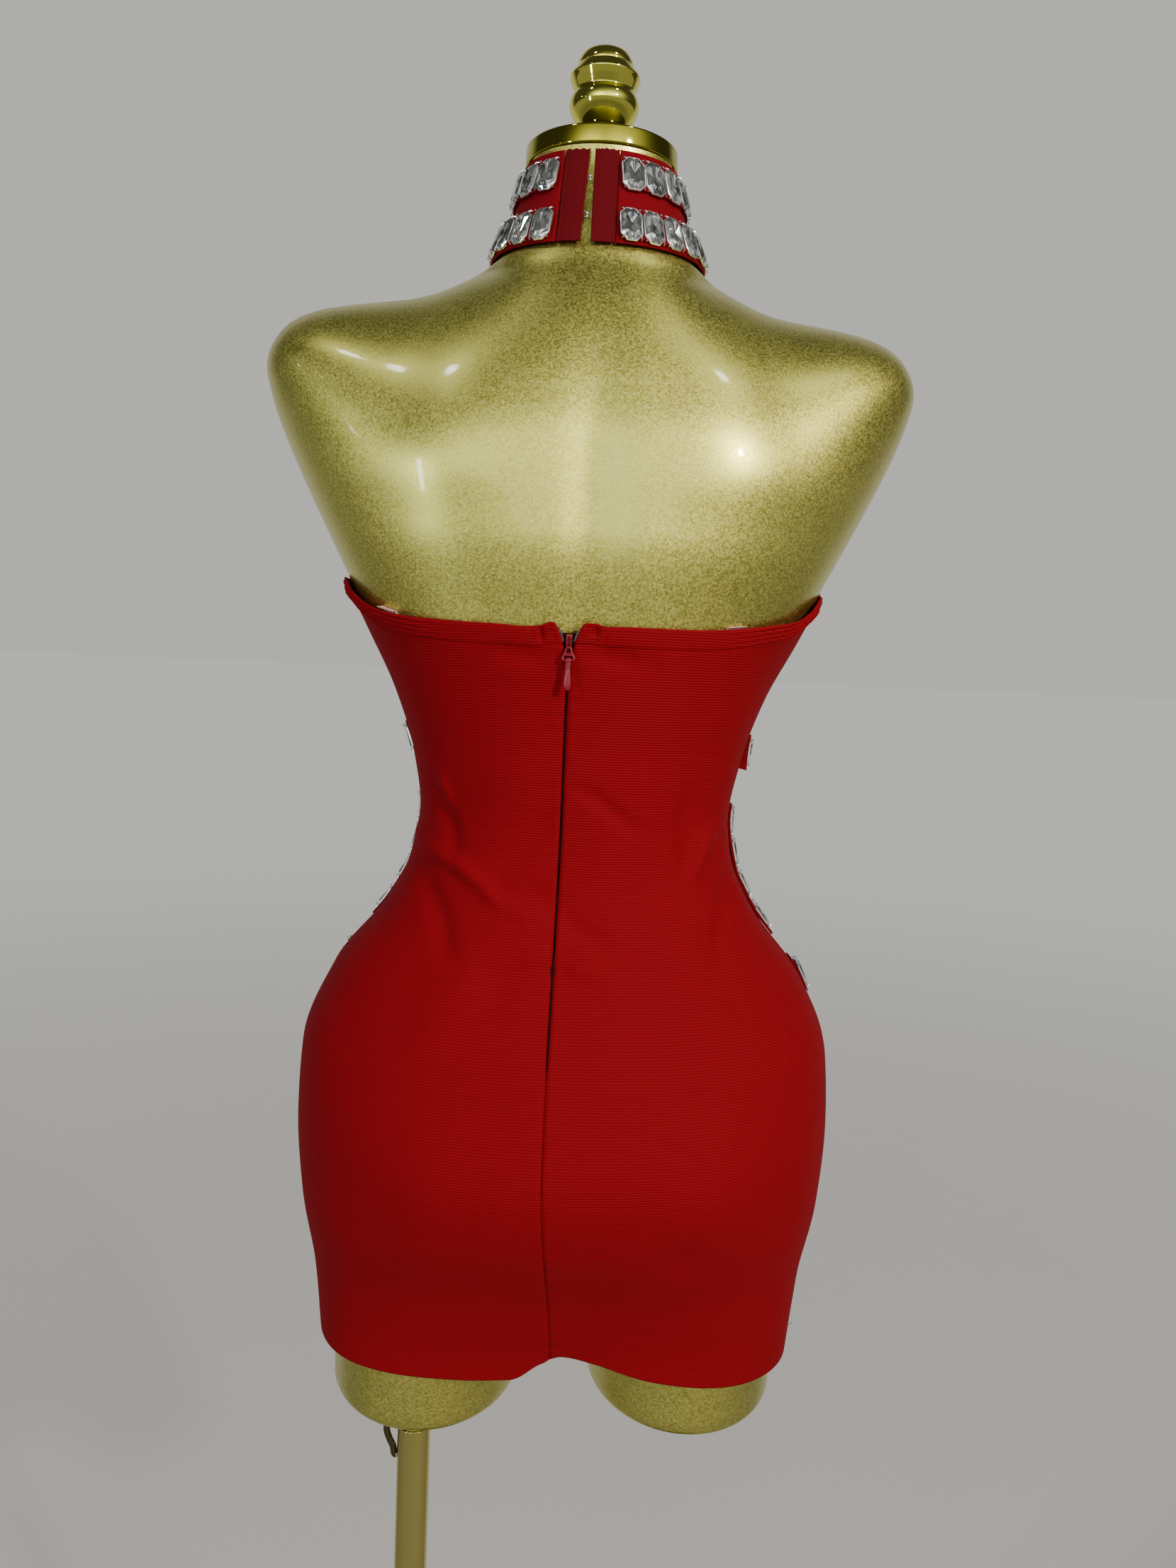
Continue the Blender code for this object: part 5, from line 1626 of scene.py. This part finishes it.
def addFloor():
    made, tree, shader, place = newMaterial("matt paper floor with painted glow", {"Roughness": 0.85, "Specular IOR Level": 0.2})
    patch = addNode(tree, "ShaderNodeTexNoise", {"Scale": 3.0, "Detail": 4.0, "Vector": place}).outputs["Fac"]
    reach = addNode(tree, "ShaderNodeVectorMath", {"operation": "LENGTH", 0: place}).outputs["Value"]
    melt = {"interpolation_type": "SMOOTHSTEP", "From Min": 1.0, "From Max": 6.0, "Value": reach}
    far = addNode(tree, "ShaderNodeMapRange", melt).outputs[0]
    way = addNode(tree, "ShaderNodeVectorMath", {"operation": "NORMALIZE", 0: place}).outputs[0]
    dark, pale = (colour(text) for text in studio["floor"])
    paper = addNode(tree, "ShaderNodeMix", {"data_type": "RGBA", 0: patch, 6: dark, 7: pale}).outputs[2]
    black = (0.0, 0.0, 0.0, 1.0)
    base = addNode(tree, "ShaderNodeMix", {"data_type": "RGBA", 0: far, 6: paper, 7: black}).outputs[2]
    tree.links.new(base, shader.inputs["Base Color"])
    # the floor glows though it is no lamp: painted light matched to the air, with painted shade near the figure
    # beside and behind the camera; its own colour fades to black far off
    near, distant = (colour(text) for text in studio["floorPaintedLightBeside"])
    paintedLightBeside = addNode(tree, "ShaderNodeMix", {"data_type": "RGBA", 0: far, 6: near, 7: distant}).outputs[2]
    air = {"data_type": "RGBA", 0: airFade(tree, way), 6: colour(studio["wall"]), 7: paintedLightBeside}
    tree.links.new(addNode(tree, "ShaderNodeMix", air).outputs[2], shader.inputs["Emission Color"])
    nearPaintedGlow, farPaintedGlow = studio["floorPaintedGlow"]
    glow = {"operation": "MULTIPLY_ADD", 0: far, 1: farPaintedGlow - nearPaintedGlow, 2: nearPaintedGlow}
    tree.links.new(addNode(tree, "ShaderNodeMath", glow).outputs[0], shader.inputs["Emission Strength"])
    bm = bmesh.new()
    bmesh.ops.create_grid(bm, x_segments=1, y_segments=1, size=60.0)
    mesh = bpy.data.meshes.new("floor")
    bm.to_mesh(mesh)
    bm.free()
    mesh.materials.append(made)
    floor = bpy.data.objects.new("floor", mesh)
    bpy.context.scene.collection.objects.link(floor)


def wayTo(azimuth, elevation):
    turn, lift = math.radians(azimuth), math.radians(elevation)
    return Vector((math.sin(turn) * math.cos(lift), math.cos(turn) * math.cos(lift), math.sin(lift)))


def addAir():
    # pale beyond the figure, dimmer at the sides, with broad soft glows behind the camera
    world = bpy.data.worlds.new("studio")
    bpy.context.scene.world = world
    world.use_nodes = True
    tree = world.node_tree
    way = addNode(tree, "ShaderNodeTexCoord").outputs["Generated"]
    shades = {"data_type": "RGBA", 0: airFade(tree, way), 6: colour(studio["wall"]), 7: colour(studio["shade"])}
    air = addNode(tree, "ShaderNodeMix", shades).outputs[2]
    glow = 0.0
    for azimuth, elevation, sharpness, strength in studio["glows"]:
        toward = {"operation": "DOT_PRODUCT", 0: way, 1: wayTo(azimuth, elevation)}
        near = addNode(tree, "ShaderNodeVectorMath", toward).outputs["Value"]
        near = addNode(tree, "ShaderNodeMath", {"operation": "MAXIMUM", 0: near, 1: 0.0}).outputs[0]
        lobe = addNode(tree, "ShaderNodeMath", {"operation": "POWER", 0: near, 1: sharpness}).outputs[0]
        added = {"operation": "MULTIPLY_ADD", 0: lobe, 1: strength, 2: glow}
        glow = addNode(tree, "ShaderNodeMath", added).outputs[0]
    tint = {"operation": "SCALE", 0: studio["glowTint"], "Scale": glow}
    tinted = addNode(tree, "ShaderNodeVectorMath", tint).outputs[0]
    total = addNode(tree, "ShaderNodeVectorMath", {"operation": "ADD", 0: air, 1: tinted}).outputs[0]
    tree.links.new(total, tree.nodes["Background"].inputs["Color"])


def addLamps():
    aim = Vector(studio["lampAim"])
    for name, azimuth, elevation, distance, width, height, watts, tint in studio["lamps"]:
        way = wayTo(azimuth, elevation)
        data = bpy.data.lights.new(name, "AREA")
        data.shape = "ELLIPSE" if width == height else "RECTANGLE"
        data.size, data.size_y = width, height
        data.energy = watts
        data.color = colour(tint)[:3]
        lamp = bpy.data.objects.new(name, data)
        turn = (-way).to_track_quat("-Z", "Y").to_matrix().to_4x4()
        lamp.matrix_world = Matrix.Translation(aim + way * distance) @ turn
        bpy.context.scene.collection.objects.link(lamp)


addFloor()
addAir()
addLamps()
print("studio lit")
